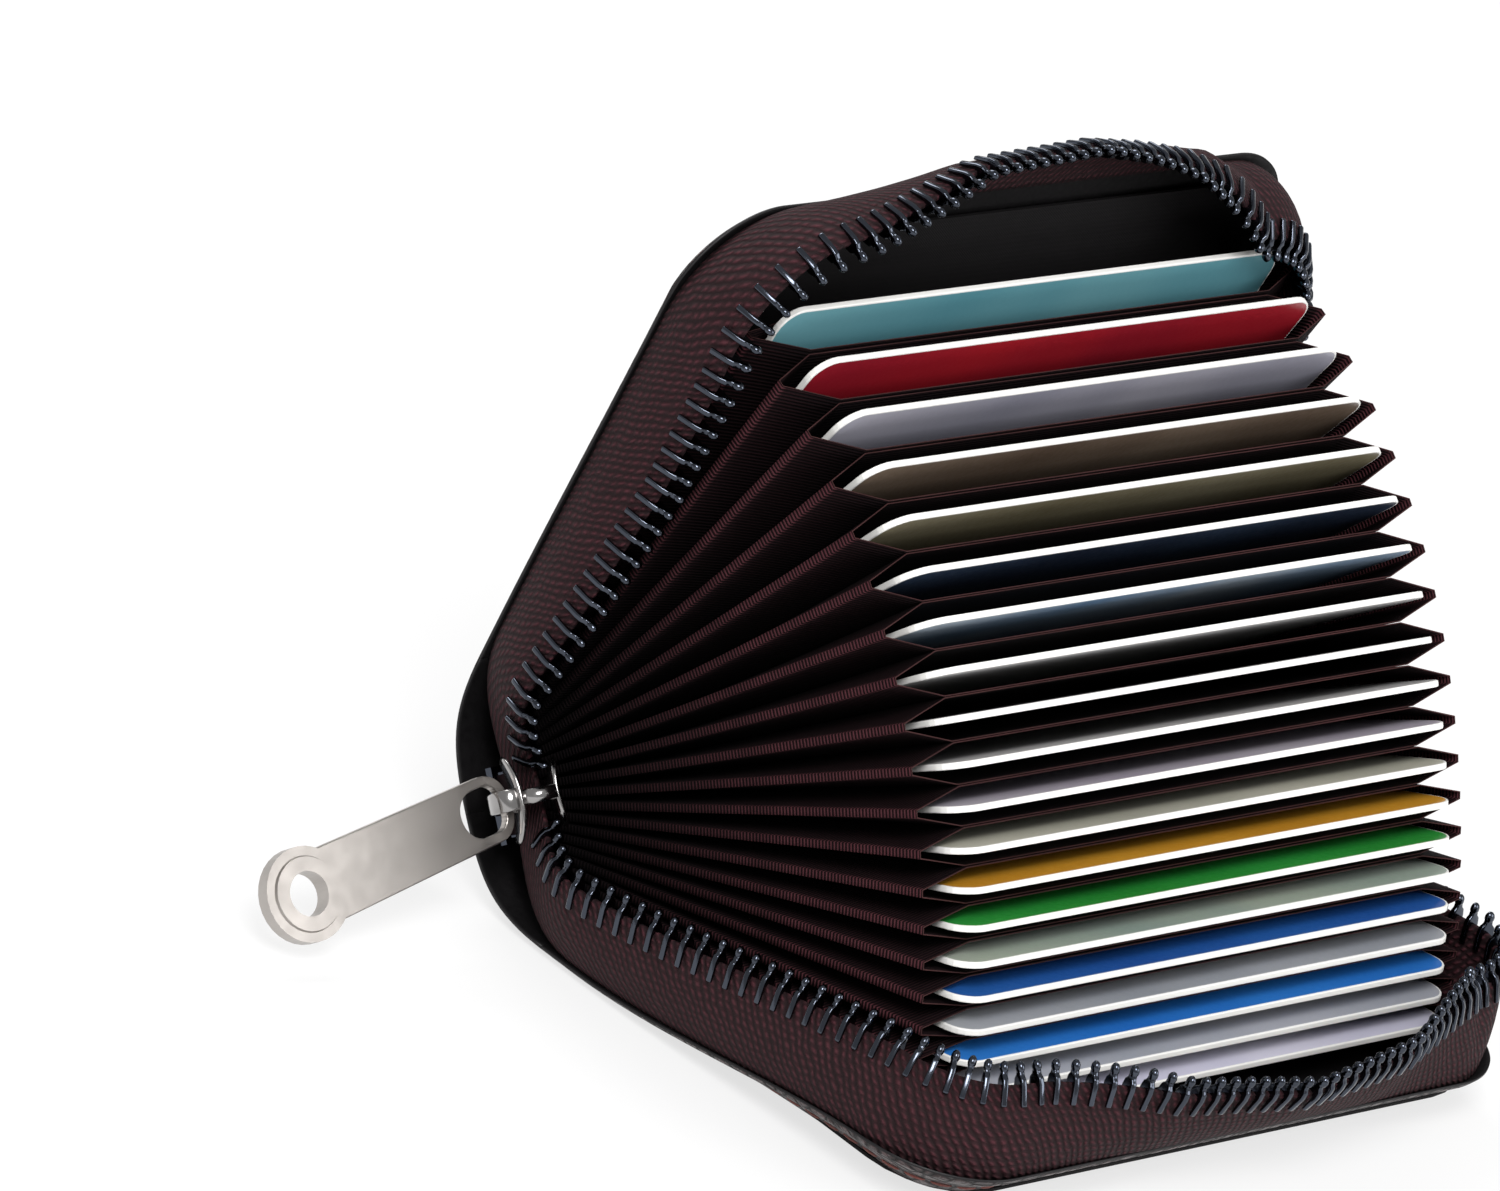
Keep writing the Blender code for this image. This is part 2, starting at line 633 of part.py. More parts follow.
def pocket_rings(upper, lower, inset, height):
    """The eight points of a pocket's section at a height: flat walls whose ends fold in to the tips."""
    flat = POCKET_FLAT / 2
    top = upper[0] + height * tan(upper[1])
    bottom = lower[0] + height * tan(lower[1])
    tip = POCKET_LENGTH / 2 - inset
    tip_half = min(POCKET_END / 2, top - PLY_GAP, bottom - PLY_GAP) - inset
    section = [(-tip, -tip_half), (-flat, inset - bottom), (flat, inset - bottom), (tip, -tip_half),
               (tip, tip_half), (flat, top - inset), (-flat, top - inset), (-tip, tip_half)]
    return [(x, y, height) for x, y in section]


def pocket(index, angles, parent):
    """A sewn fabric pocket: a thin walled envelope, open at the mouth, closed along the spine."""
    upper = wall_line(angles[index], angles[index - 1] if index > 0 else None)
    lower = wall_line(angles[index], angles[index + 1] if index + 1 < len(angles) else None)
    inner_foot = CARD_FOOT - CARD_FOOT_CLEARANCE
    outside = [(0, POCKET_FOOT), (0, inner_foot), (0, POCKET_MIDDLE), (0, POCKET_HEIGHT)]
    inside = [(PLY, POCKET_HEIGHT), (PLY, POCKET_MIDDLE), (PLY, inner_foot)]
    work = bmesh.new()
    rings = []
    for inset, height in outside + inside:
        ring = pocket_rings(upper, lower, inset, height)
        rings.append([work.verts.new(point) for point in ring])
    work.faces.new(list(reversed(rings[0])))
    for band, (first, second) in enumerate(zip(rings, rings[1:])):
        join_rings(work, first, second, band + 1 < len(outside))
    work.faces.new(rings[-1])
    name = "pocket_{:02d}".format(index + 1)
    mesh = bpy.data.meshes.new(name)
    work.to_mesh(mesh)
    work.free()
    return add_object(name, mesh, parent, FABRIC_LOOK)


def join_rings(work, first, second, rising):
    """Triangles between two rings; the diagonals inside lie along those outside, so the wall stays even."""
    count = len(first)
    for step in range(count):
        after = (step + 1) % count
        if rising:
            work.faces.new((first[step], first[after], second[step]))
            work.faces.new((first[after], second[after], second[step]))
        else:
            work.faces.new((first[step], first[after], second[after]))
            work.faces.new((first[step], second[after], second[step]))


def card(index, parent):
    """A bank card, on the middle plane of its pocket."""
    half = CARD_LENGTH / 2
    top = CARD_FOOT + CARD_WIDTH
    outline = rounded_outline([(-half, CARD_FOOT), (half, CARD_FOOT), (half, top), (-half, top)],
                              [CARD_CORNER] * 4)
    name, colour = CARD_COLOURS[index % len(CARD_COLOURS)]
    look = new_material("card_{:02d}_{}".format(index + 1, name), colour, 0.35)
    made = flat_piece("card_{:02d}".format(index + 1), [outline], -CARD_THICKNESS / 2, CARD_THICKNESS / 2,
                      parent, look)
    made.rotation_euler.x = pi / 2
    return made


def back_frame():
    return Matrix.Translation((0, COVER_DEPTH / 2, 0)) @ Matrix.Rotation(pi, 4, "Z")


def spine_frame():
    return Matrix.Translation((0, COVER_DEPTH / 2, 0)) @ Matrix.Rotation(pi / 2 - OPEN_ANGLE, 4, "X")


def front_frame():
    """The front cover's frame, given in the spine's."""
    return Matrix.Translation((0, WALLET_THICKNESS, 0)) @ Matrix.Rotation(pi / 2 - OPEN_ANGLE, 4, "X")


def build_cover(side, axis, stop_side):
    cover_leather(side + "_leather", axis)
    cover_layers(side, axis)
    zip_half(side, axis)
    zip_end_stop(side, axis, stop_side)


def build_fan(spine):
    angles = fan_angles()
    for index, angle in enumerate(angles):
        across = COVER_STACK + FAN_MARGIN + FAN_PITCH * (CARD_COUNT - index - 0.5)
        root = Matrix.Translation((0, across, SPINE_STACK + POCKET_SEAT)) @ Matrix.Rotation(-angle, 4, "X")
        axis = new_axis("pocket_{:02d}_axis".format(index + 1), root, spine)
        pocket(index, angles, axis)
        card(index, axis)


def build_pull(slider):
    """The tab hangs on the bridge, swung a little back and askew in its loose eye."""
    pivot = Matrix.Translation((0, 0, PLATE_OUT + PIVOT_RISE))
    outward = Matrix(((0, 1, 0), (0, 0, 1), (1, 0, 0))).to_4x4()
    swing = Matrix.Rotation(TAB_SWING, 4, "X")
    skew = Matrix.Rotation(TAB_SKEW, 4, "Z")
    axis = new_axis("pull_tab_axis", pivot @ swing @ outward @ skew, slider)
    pull_tab(axis)


clear_scene()
PARTS = new_collection("organizer_wallet")
TOOLS = new_collection("cutters")
LEATHER_LOOK = new_material("brown_leather", (0.045, 0.028, 0.026), 0.45)
BOARD_LOOK = new_material("grey_board", (0.20, 0.19, 0.18), 0.9)
LINING_LOOK = new_material("black_lining", (0.012, 0.011, 0.012), 0.8)
TAPE_LOOK = new_material("maroon_tape", (0.07, 0.018, 0.022), 0.85)
FABRIC_LOOK = new_material("pocket_fabric", (0.035, 0.018, 0.02), 0.8)
METAL_LOOK = new_material("gunmetal", (0.42, 0.40, 0.38), 0.25, 1.0)

BACK = new_axis("back_cover_axis", back_frame())
SPINE = new_axis("spine_axis", spine_frame())
FRONT = new_axis("front_cover_axis", front_frame(), SPINE)
SLIDER = new_axis("slider_axis", slider_frame(), SPINE)

build_cover("back", BACK, -1)
build_cover("front", FRONT, 1)
spine_leather(SPINE)
spine_layers(SPINE)
zip_tail(SPINE)
bottom_stop(SPINE)
build_fan(SPINE)
slider_body(SLIDER)
build_pull(SLIDER)
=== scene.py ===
"""Looks of the open accordion card wallet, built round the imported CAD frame.

Sizes are in metres. Every piece is modelled in the frame of the body that carries it: a cover's frame has x
along the fold, y from the fold to the mouth and z from the skin inward; the spine's has y from the back fold
to the front fold and z into the wallet; a pocket's has z from the spine to the mouth and y towards the front.
"""
from math import cos, pi, radians, sin, tan

import bmesh
import bpy
import numpy as np
from mathutils import Matrix, Vector


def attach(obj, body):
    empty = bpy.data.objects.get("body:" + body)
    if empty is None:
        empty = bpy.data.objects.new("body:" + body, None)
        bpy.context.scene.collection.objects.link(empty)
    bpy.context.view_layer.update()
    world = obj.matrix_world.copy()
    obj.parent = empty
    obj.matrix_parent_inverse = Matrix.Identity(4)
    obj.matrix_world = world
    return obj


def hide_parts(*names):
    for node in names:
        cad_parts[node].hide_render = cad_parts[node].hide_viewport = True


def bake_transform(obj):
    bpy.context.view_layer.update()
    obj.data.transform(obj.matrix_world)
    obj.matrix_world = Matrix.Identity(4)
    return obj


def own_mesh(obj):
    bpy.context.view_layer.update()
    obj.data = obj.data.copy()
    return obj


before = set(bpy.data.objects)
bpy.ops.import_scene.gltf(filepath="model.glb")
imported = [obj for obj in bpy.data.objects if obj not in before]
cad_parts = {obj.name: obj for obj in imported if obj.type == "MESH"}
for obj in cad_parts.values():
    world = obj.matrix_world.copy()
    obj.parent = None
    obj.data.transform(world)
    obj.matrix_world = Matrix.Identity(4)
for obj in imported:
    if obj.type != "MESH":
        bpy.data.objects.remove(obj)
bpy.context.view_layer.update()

MM = 0.001

# Sizes of the covers, the cards and the fan, in the CAD too
COVER_LENGTH = 105.5 * MM
COVER_DEPTH = 70.5 * MM
COVER_SKIN = 1.4 * MM
WALLET = 27.8 * MM
MIDDLE = WALLET / 2
OPEN_ANGLE = radians(40)
CARD_COUNT = 20
CARD_LENGTH = 85.6 * MM
CARD_WIDTH = 53.98 * MM
CARD_THICKNESS = 0.76 * MM
CARD_CORNER = 3.18 * MM
CARD_FOOT = 8.5 * MM
CARD_BEVEL = 0.14 * MM
CARD_BORDER = 0.28 * MM
STACK = 2.9 * MM
FAN_TOP = radians(35)
FAN_FIRST_STEP = radians(5.9)
FAN_LAST_STEP = radians(2.15)
FAN_PITCH = 1.08 * MM
FAN_MARGIN = 0.2 * MM
FAN_SEAT = 0.25 * MM
POCKET_FOOT = 0.4 * MM
POCKET_HEIGHT = 59.3 * MM
POCKET_FIRST_ROW = 2 * MM
POCKET_ROWS = 26
POCKET_FLAT = 79 * MM
POCKET_LENGTH = 93.6 * MM
POCKET_END = 0.92 * MM
POCKET_OUTER_WALL = radians(1)
PLY = 0.13 * MM
PLY_GAP = 0.08 * MM

# Zip and slider
ZIP_START = 10.8 * MM
ZIP_INSET = 1.8 * MM
ZIP_CORNER = 12.5 * MM
TAPE_FOOT = 1.5 * MM
TAPE = 0.6 * MM
TAPE_SPREAD = 0.9 * MM
TAPE_BAND = 11.6 * MM
TAPE_ROWS = 11
TAPE_STEP = 1.1 * MM
# The loose tape's lean outward at its foot and at its free edge, in degrees, by the run in mm from the
# middle of the mouth towards the far end
FRONT_LEANS = [(-104, 42, 4), (-74, 30, -29), (-58, 32, -30), (-38, 62, -20), (-18, 90, 20), (2, 96, 24),
               (12, 98, 6), (20, 97, -14), (28, 92, -48), (38, 22, -66), (54, 8, -40), (64, 20, -20),
               (104, 16, -12)]
BACK_LEANS = [(-104, 42, 0), (-66, 28, -28), (-50, 8, -36), (-38, 12, -28), (-20, 42, 8), (0, 54, 22),
              (20, 44, 10), (42, 2, -32), (58, 28, -4), (104, 24, -20)]
TOOTH_PITCH = 2.3 * MM
TOOTH_HALF = 0.33 * MM
TOOTH_BEVEL = 0.17 * MM
TOOTH_HEAD = 0.72 * MM
TOOTH_HEAD_RISE = 2.1 * MM
TOOTH_HEAD_SHARES = (0.72, 0.9, 1.1, 1)
# Half of a clamp from its waist down the outside of one leg, in mm across and up from the tape's edge
TOOTH_HALF_OUTLINE = ((0.42, 1.8), (0.5, 1.3), (0.9, 0.9), (1.08, 0.1), (1.0, -2.2), (0.5, -2.35),
                      (0.46, -0.1))
TOOTH_SINK = 0.2 * MM
TOOTH_LOOK_AHEAD = 0.3 * MM
CHAIN_X = ZIP_INSET - COVER_LENGTH / 2
SLIDER_MIDDLE = 6.9 * MM
SLIDER_WIDE = 5.2 * MM
SLIDER_HIGH = 3.9 * MM
SLIDER_PLATE = 0.8 * MM
SLIDER_SET = 1.7 * MM
SLIDER_GAP = 4.2 * MM
SLIDER_TILT = radians(38)
# A plate's outline from its middle to its rim: share of its reach, and height in shares of its thickness
PLATE_HALF = ((0.02, 0.5), (0.4, 0.5), (0.75, 0.48), (0.93, 0.38), (1.0, 0.0))
PLATE_SIDES = 36
PLATE_SQUARENESS = 2.6
SLIDER_DOME = 0.9 * MM
SLIDER_BACK_DOME = -0.7 * MM
SLIDER_BACK_SHARES = (0.8, 0.9)
POST_PLACE = 2.4 * MM
POST_HALF_WIDTH = 0.9 * MM
POST_HALF_DEPTH = 1.1 * MM
BRIDGE_FOOT = 3.1 * MM
BRIDGE_REACH = 3 * MM
BRIDGE_START = 0.25 * MM
BRIDGE_RISE = 1.6 * MM
BRIDGE_STEPS = 10
BRIDGE_HALF_WIDTH = 1.25 * MM
BRIDGE_HALF_DEPTH = 0.35 * MM
PULL_REACH = 4.45 * MM
PULL_X = CHAIN_X - PULL_REACH
SLIDER_TOP = 8.6 * MM
SWING_LENGTH = 14 * MM
SWING_TUCK = 4.5 * MM
SWING_EDGE_REACH = 5 * MM
SWING_FOOT_REACH = 3.5 * MM
TEETH_STOP = 4.2 * MM

# Leather skins and stitches
HEM = 5 * MM
HEM_DROP = 0.7 * MM
PAD_SLOPE = 2.2 * MM
SKIN_CORNER = 12.5 * MM
RIM_REACH = 12.5 * MM
RIM_CURL = {"back": 5.5 * MM, "front": 0.8 * MM}
RIM_POWER = 1.7
RIM_RAMP = 52 * MM
FAR_DRAW = 2.5 * MM
FAR_REACH = 40 * MM
FAR_RAMP = 25 * MM
FAR_END = {"back": -1, "front": 1}
SKIN_EDGE = 0.35 * MM
SKIN_STEP = 0.8 * MM
SKIN_EVEN = 0.55
FOLD_REACH = 6 * MM
SPINE_BOW = 3.2 * MM
SPINE_PULL = 8.5 * MM
SPINE_STEPS = 16
STITCH_INSET = 3.4 * MM
STITCH_PITCH = 3.1 * MM
STITCH_LENGTH = 2.5 * MM
STITCH_RADIUS = 0.24 * MM
STITCH_START = 7 * MM
STITCH_SIDES = 8

# Camera
CAMERA_PLACE = (-0.9415, -0.6789, 0.5436)
CAMERA_RIGHT = (0.6835, -0.67071, 0.28805)
CAMERA_UP = (0.10402, 0.48008, 0.87103)
CAMERA_LENS = 265.34

# Stage, in metres and watts
FLOOR_HALF = 3.0
FLOOR_WHITE = 0.72
WORLD_GLOW = 0.45
LAMP_AIM = (0, 0, 0.04)
LAMPS = (("key", (-0.7, -0.55, 0.95), 0.5, 14), ("fill", (0.5, -0.9, 0.5), 0.6, 5),
         ("rim", (0.2, 0.8, 0.8), 0.5, 6))


def fan_angles():
    ratio = (FAN_LAST_STEP / FAN_FIRST_STEP) ** (1 / (CARD_COUNT - 2))
    angles = [FAN_TOP]
    for step in range(CARD_COUNT - 1):
        angles.append(angles[-1] - FAN_FIRST_STEP * ratio ** step)
    return angles


ANGLES = fan_angles()
FOLD = Matrix.Rotation(pi / 2 - OPEN_ANGLE, 4, "X")
BACK = Matrix.Translation((0, COVER_DEPTH / 2, 0)) @ Matrix.Rotation(pi, 4, "Z")
SPINE = Matrix.Translation((0, COVER_DEPTH / 2, 0)) @ FOLD
FRONT = SPINE @ Matrix.Translation((0, WALLET, 0)) @ FOLD


def pocket_frame(index):
    across = STACK + FAN_MARGIN + FAN_PITCH * (CARD_COUNT - index - 0.5)
    return SPINE @ Matrix.Translation((0, across, STACK + FAN_SEAT)) @ Matrix.Rotation(-ANGLES[index], 4, "X")


# Materials

PER_MM = (1 / MM, 1 / MM, 1 / MM)
LEATHER_GRAIN = 480
LEATHER_DEPTH = 0.42 * MM
LINING_RIB = 0.3
LINING_DEPTH = 0.02 * MM
TWILL_TURN = radians(34)
TWILL_DEPTH = 0.3 * MM
CARD_GLOSS_DEPTH = 0.004 * MM
# Grosgrain: how far its painted highlight runs in from a fold, where it fades in from painted shade near the
# spine, and its depth
RIDGE_SPAN = (0.05 * MM, 0.55 * MM)
LAP_SPAN = (0.4 * MM, 7.5 * MM)
SPINE_SHADE = (7 * MM, 46 * MM)
GROSGRAIN_DEPTH = 0.16 * MM


class Nodes:
    """A short way to build one material's nodes."""

    def __init__(self, name):
        self.material = bpy.data.materials.new(name)
        self.material.use_nodes = True
        self.tree = self.material.node_tree
        self.shader = self.tree.nodes["Principled BSDF"]

    def add(self, kind, **settings):
        node = self.tree.nodes.new(kind)
        for key, value in settings.items():
            setattr(node, key, value)
        return node

    def join(self, output, target):
        self.tree.links.new(output, target)

    def feed(self, socket, value):
        if hasattr(value, "is_output"):
            self.join(value, socket)
        else:
            socket.default_value = value

    def place(self, kind="Object", scale=(1, 1, 1), turn=(0, 0, 0)):
        coordinates = self.add("ShaderNodeTexCoord")
        mapping = self.add("ShaderNodeMapping")
        mapping.inputs["Scale"].default_value = scale
        mapping.inputs["Rotation"].default_value = turn
        self.join(coordinates.outputs[kind], mapping.inputs["Vector"])
        return mapping.outputs["Vector"]

    def noise(self, place, scale, detail=3, roughness=0.5, distortion=0):
        node = self.add("ShaderNodeTexNoise")
        self.join(place, node.inputs["Vector"])
        node.inputs["Scale"].default_value = scale
        node.inputs["Detail"].default_value = detail
        node.inputs["Roughness"].default_value = roughness
        node.inputs["Distortion"].default_value = distortion
        return node.outputs["Fac"]

    def cells(self, place, scale, spread):
        node = self.add("ShaderNodeTexVoronoi", feature="DISTANCE_TO_EDGE")
        self.join(place, node.inputs["Vector"])
        node.inputs["Scale"].default_value = scale
        node.inputs["Randomness"].default_value = spread
        return node.outputs["Distance"]

    def wave(self, place, scale, direction, distortion, detail):
        node = self.add("ShaderNodeTexWave", bands_direction=direction)
        self.join(place, node.inputs["Vector"])
        node.inputs["Scale"].default_value = scale
        node.inputs["Distortion"].default_value = distortion
        node.inputs["Detail"].default_value = detail
        return node.outputs["Fac"]

    def math(self, operation, a, b=0.5, clamp=False):
        node = self.add("ShaderNodeMath", operation=operation, use_clamp=clamp)
        self.feed(node.inputs[0], a)
        self.feed(node.inputs[1], b)
        return node.outputs[0]

    def span(self, value, low, high, to_low=0.0, to_high=1.0):
        node = self.add("ShaderNodeMapRange", clamp=True)
        self.feed(node.inputs["Value"], value)
        node.inputs["From Min"].default_value = low
        node.inputs["From Max"].default_value = high
        node.inputs["To Min"].default_value = to_low
        node.inputs["To Max"].default_value = to_high
        return node.outputs["Result"]

    def mix(self, share, first, second):
        node = self.add("ShaderNodeMix", data_type="RGBA")
        self.feed(node.inputs["Factor"], share)
        self.feed(node.inputs[6], (*first, 1) if isinstance(first, tuple) else first)
        self.feed(node.inputs[7], (*second, 1) if isinstance(second, tuple) else second)
        return node.outputs[2]

    def bump(self, height, distance):
        node = self.add("ShaderNodeBump")
        node.inputs["Strength"].default_value = 1.0
        node.inputs["Distance"].default_value = distance
        self.join(height, node.inputs["Height"])
        return node.outputs["Normal"]

    def finish(self, colour, roughness, normal, **sockets):
        self.join(colour, self.shader.inputs["Base Color"])
        self.feed(self.shader.inputs["Roughness"], roughness)
        self.join(normal, self.shader.inputs["Normal"])
        for key, value in sockets.items():
            self.shader.inputs[key.replace("_", " ")].default_value = value
        return self.material


def leather_look(name, dark, light, tint):
    """Pebbled leather: rounded grains with creases between them darkened by painted shade, some redder than
    others.
    """
    made = Nodes(name)
    place = made.place()
    edge = made.cells(place, LEATHER_GRAIN, 0.85)
    fine = made.cells(place, LEATHER_GRAIN * 2.3, 1.0)
    pebble = made.span(edge, 0.015, 0.17)
    small = made.span(fine, 0.01, 0.22)
    grain_noise = made.noise(place, LEATHER_GRAIN * 6, 2)
    patch = made.noise(place, 60, 2)
    height = made.math("ADD", made.math("MULTIPLY", pebble, 0.72), made.math("MULTIPLY", small, 0.22))
    height = made.math("ADD", height, made.math("MULTIPLY", grain_noise, 0.06))
    body = made.mix(made.span(patch, 0.35, 0.65), light, tint)
    # Share of the body colour: low in the creases, where the near-black colour is painted shade.
    unshaded_share = made.math("MULTIPLY", pebble, made.span(small, 0, 1, 0.45, 1.0))
    colour = made.mix(unshaded_share, dark, body)
    rough = made.span(pebble, 0, 1, 0.62, 0.36)
    return made.finish(colour, rough, made.bump(height, LEATHER_DEPTH), Specular_IOR_Level=0.36)


def lining_look():
    """Smooth woven lining with fine ribs; light catches the top of each rib."""
    made = Nodes("lining_black")
    place = made.place("Object", PER_MM)
    rib = made.wave(place, 1 / LINING_RIB / 3.2, "X", 1.2, 1)
    yarn = made.wave(place, 1 / LINING_RIB / 1.4, "Y", 2.5, 1)
    fuzz = made.noise(place, 7, 3)
    patch = made.noise(place, 0.35, 2)
    height = made.math("ADD", rib, made.math("MULTIPLY", yarn, 0.45))
    height = made.math("ADD", height, made.math("MULTIPLY", fuzz, 0.5))
    # The lighter colour on the rib tops is a painted highlight.
    share = made.math("MULTIPLY", made.span(height, 0.35, 1.6), made.span(patch, 0.25, 0.7, 0.65, 1.0))
    colour = made.mix(share, (0.0015, 0.0013, 0.0016), (0.007, 0.0055, 0.0065))
    return made.finish(colour, 0.82, made.bump(height, LINING_DEPTH), Specular_IOR_Level=0.25)


def plain_look(name, colour, roughness, vary=0.12, grain=900, depth=0.01 * MM, **sockets):
    """A smooth finish with faint unevenness in its colour, gloss and surface."""
    made = Nodes(name)
    place = made.place()
    fine = made.noise(place, grain, 3)
    broad = made.noise(place, 90, 2)
    deep = tuple(channel * (1 - vary) for channel in colour)
    bright = tuple(min(1.0, channel * (1 + vary)) for channel in colour)
    rough = made.span(fine, 0.3, 0.7, roughness * 0.85, min(1.0, roughness * 1.15))
    return made.finish(made.mix(made.span(broad, 0.3, 0.7), deep, bright), rough,
                       made.bump(fine, depth), **sockets)


def twill_look():
    """Coarse zip tape: slanting yarns in rows, deep creases between them, with a painted highlight on the
    yarns and painted shade in the creases.
    """
    made = Nodes("tape_maroon")
    place = made.place("UV", PER_MM, (0, 0, TWILL_TURN))
    rows = made.place("UV", PER_MM)
    yarn = made.wave(place, 0.36, "X", 3.4, 2)
    cross = made.wave(rows, 0.33, "Y", 4.2, 2)
    fuzz = made.noise(rows, 4, 3)
    patch = made.noise(rows, 0.3, 2)
    height = made.math("MULTIPLY", yarn, made.span(cross, 0.1, 0.8, 0.35, 1.0))
    height = made.math("ADD", height, made.math("MULTIPLY", fuzz, 0.22))
    # Lighter on the yarn tops as a painted highlight and near black in the creases as painted shade.
    lit = made.math("POWER", made.span(height, 0.15, 1.1), 1.1)
    share = made.math("MULTIPLY", lit, made.span(patch, 0.3, 0.7, 0.7, 1.0))
    colour = made.mix(share, (0.0105, 0.0034, 0.0044), (0.066, 0.0175, 0.0235))
    return made.finish(colour, 0.8, made.bump(height, TWILL_DEPTH), Specular_IOR_Level=0.22)


def card_face_look(name, colour, accent):
    """Laminated print: one colour that drifts into a second, under a clear gloss."""
    made = Nodes(name)
    place = made.place("Object", PER_MM)
    drift = made.noise(place, 0.02, 2, 0.5, 0.4)
    speck = made.noise(place, 1.5, 2)
    share = made.span(drift, 0.35, 0.65)
    rough = made.span(speck, 0.3, 0.7, 0.28, 0.4)
    return made.finish(made.mix(share, colour, accent), rough, made.bump(speck, CARD_GLOSS_DEPTH),
                       Coat_Weight=0.25, Coat_Roughness=0.2)


# The first colour is the painted shade in the creases; the other two are the leather's own tones.
LEATHER = leather_look("leather_brown", (0.0022, 0.0010, 0.0012), (0.064, 0.047, 0.047),
                       (0.070, 0.027, 0.028))
LEATHER_EDGE = plain_look("leather_edge", (0.006, 0.005, 0.006), 0.5, Specular_IOR_Level=0.35)
LEATHER_INSIDE = plain_look("leather_inside", (0.0035, 0.003, 0.0035), 0.7, depth=0.03 * MM,
                            Specular_IOR_Level=0.2)
LINING = lining_look()
TWILL = twill_look()
THREAD = plain_look("thread_red_brown", (0.16, 0.045, 0.035), 0.7, 0.3, 2500, 0.05 * MM)
NICKEL = plain_look("nickel_polished", (0.45, 0.42, 0.395), 0.36, 0.05, 500, 0.002 * MM, Metallic=1.0)
GUNMETAL = plain_look("gunmetal_dark", (0.062, 0.070, 0.088), 0.16, 0.15, 1200, 0.006 * MM, Metallic=1.0)
SLIDER_METAL = plain_look("nickel_dark", (0.36, 0.35, 0.345), 0.17, 0.08, 900, 0.003 * MM, Metallic=1.0)
CARD_WHITE = plain_look("card_edge_white", (0.86, 0.85, 0.82), 0.42, 0.03)

CARD_TINTS = [
    ((0.085, 0.27, 0.33), (0.16, 0.38, 0.43)), ((0.40, 0.012, 0.02), (0.24, 0.008, 0.02)),
    ((0.26, 0.26, 0.33), (0.46, 0.45, 0.52)), ((0.10, 0.065, 0.045), (0.20, 0.15, 0.11)),
    ((0.16, 0.135, 0.075), (0.26, 0.23, 0.15)), ((0.010, 0.014, 0.030), (0.03, 0.05, 0.09)),
    ((0.08, 0.22, 0.42), (0.55, 0.62, 0.68)), ((0.66, 0.66, 0.66), (0.74, 0.73, 0.72)),
    ((0.62, 0.60, 0.62), (0.72, 0.70, 0.70)), ((0.70, 0.69, 0.68), (0.60, 0.58, 0.58)),
    ((0.48, 0.42, 0.52), (0.64, 0.60, 0.66)), ((0.52, 0.52, 0.42), (0.70, 0.68, 0.56)),
    ((0.72, 0.36, 0.035), (0.60, 0.27, 0.02)), ((0.02, 0.27, 0.035), (0.03, 0.36, 0.06)),
    ((0.28, 0.36, 0.34), (0.48, 0.50, 0.42)), ((0.015, 0.08, 0.34), (0.02, 0.12, 0.42)),
    ((0.30, 0.32, 0.35), (0.42, 0.43, 0.45)), ((0.015, 0.14, 0.52), (0.03, 0.20, 0.60)),
    ((0.34, 0.36, 0.40), (0.46, 0.46, 0.50)), ((0.56, 0.55, 0.70), (0.72, 0.70, 0.80)),
]


def pocket_look():
    """Grosgrain: ribs that run out from the spine, wine red on the folds and nearly black in the hollows; the
    wine red is partly the cloth's own colour and partly a painted highlight on the folds and rib tops, and
    its fading to near black in the hollows and towards the spine is painted shade.
    """
    made = Nodes("pocket_grosgrain")
    parts = made.add("ShaderNodeSeparateXYZ")
    made.join(made.place("UV"), parts.inputs[0])
    flat = made.place("UV", (1 / MM, 1 / MM, 1))
    rib = made.wave(made.place("UV", (0, 1 / MM, 0)), 0.62, "Y", 0.5, 1)
    fuzz = made.noise(flat, 5, 3)
    broad = made.noise(flat, 0.12, 2)
    # Painted highlight along each fold: narrow at the ridge, broad and faint on the lapped face.
    ridge_highlight = made.span(parts.outputs["X"], *RIDGE_SPAN, 1.0, 0.0)
    lap_highlight = made.span(parts.outputs["X"], *LAP_SPAN, 0.22, 0.05)
    # Painted shade: the colour darkens towards the spine, deep in the fan.
    near = made.math("POWER", made.span(parts.outputs["Y"], *SPINE_SHADE, 0.06, 1.0), 1.4)
    # The painted highlight from the folds, dimmed by that painted shade.
    glow = made.math("MULTIPLY", made.math("ADD", ridge_highlight, lap_highlight), near)
    uneven = made.span(broad, 0.3, 0.7, 0.7, 1.1)
    # Painted highlight on the rib tops.
    lit = made.span(rib, 0.2, 0.9, 0.05, 1.0)
    share = made.math("MULTIPLY", made.math("MULTIPLY", glow, uneven), lit, True)
    colour = made.mix(share, (0.0016, 0.0010, 0.0013), (0.070, 0.022, 0.027))
    height = made.math("ADD", rib, made.math("MULTIPLY", fuzz, 0.25))
    return made.finish(colour, 0.85, made.bump(height, GROSGRAIN_DEPTH), Specular_IOR_Level=0.07)


POCKET = pocket_look()
POCKET_RIM = plain_look("pocket_hem", (0.050, 0.019, 0.019), 0.8, 0.3, 2200, 0.05 * MM,
                        Specular_IOR_Level=0.15)


# Meshes


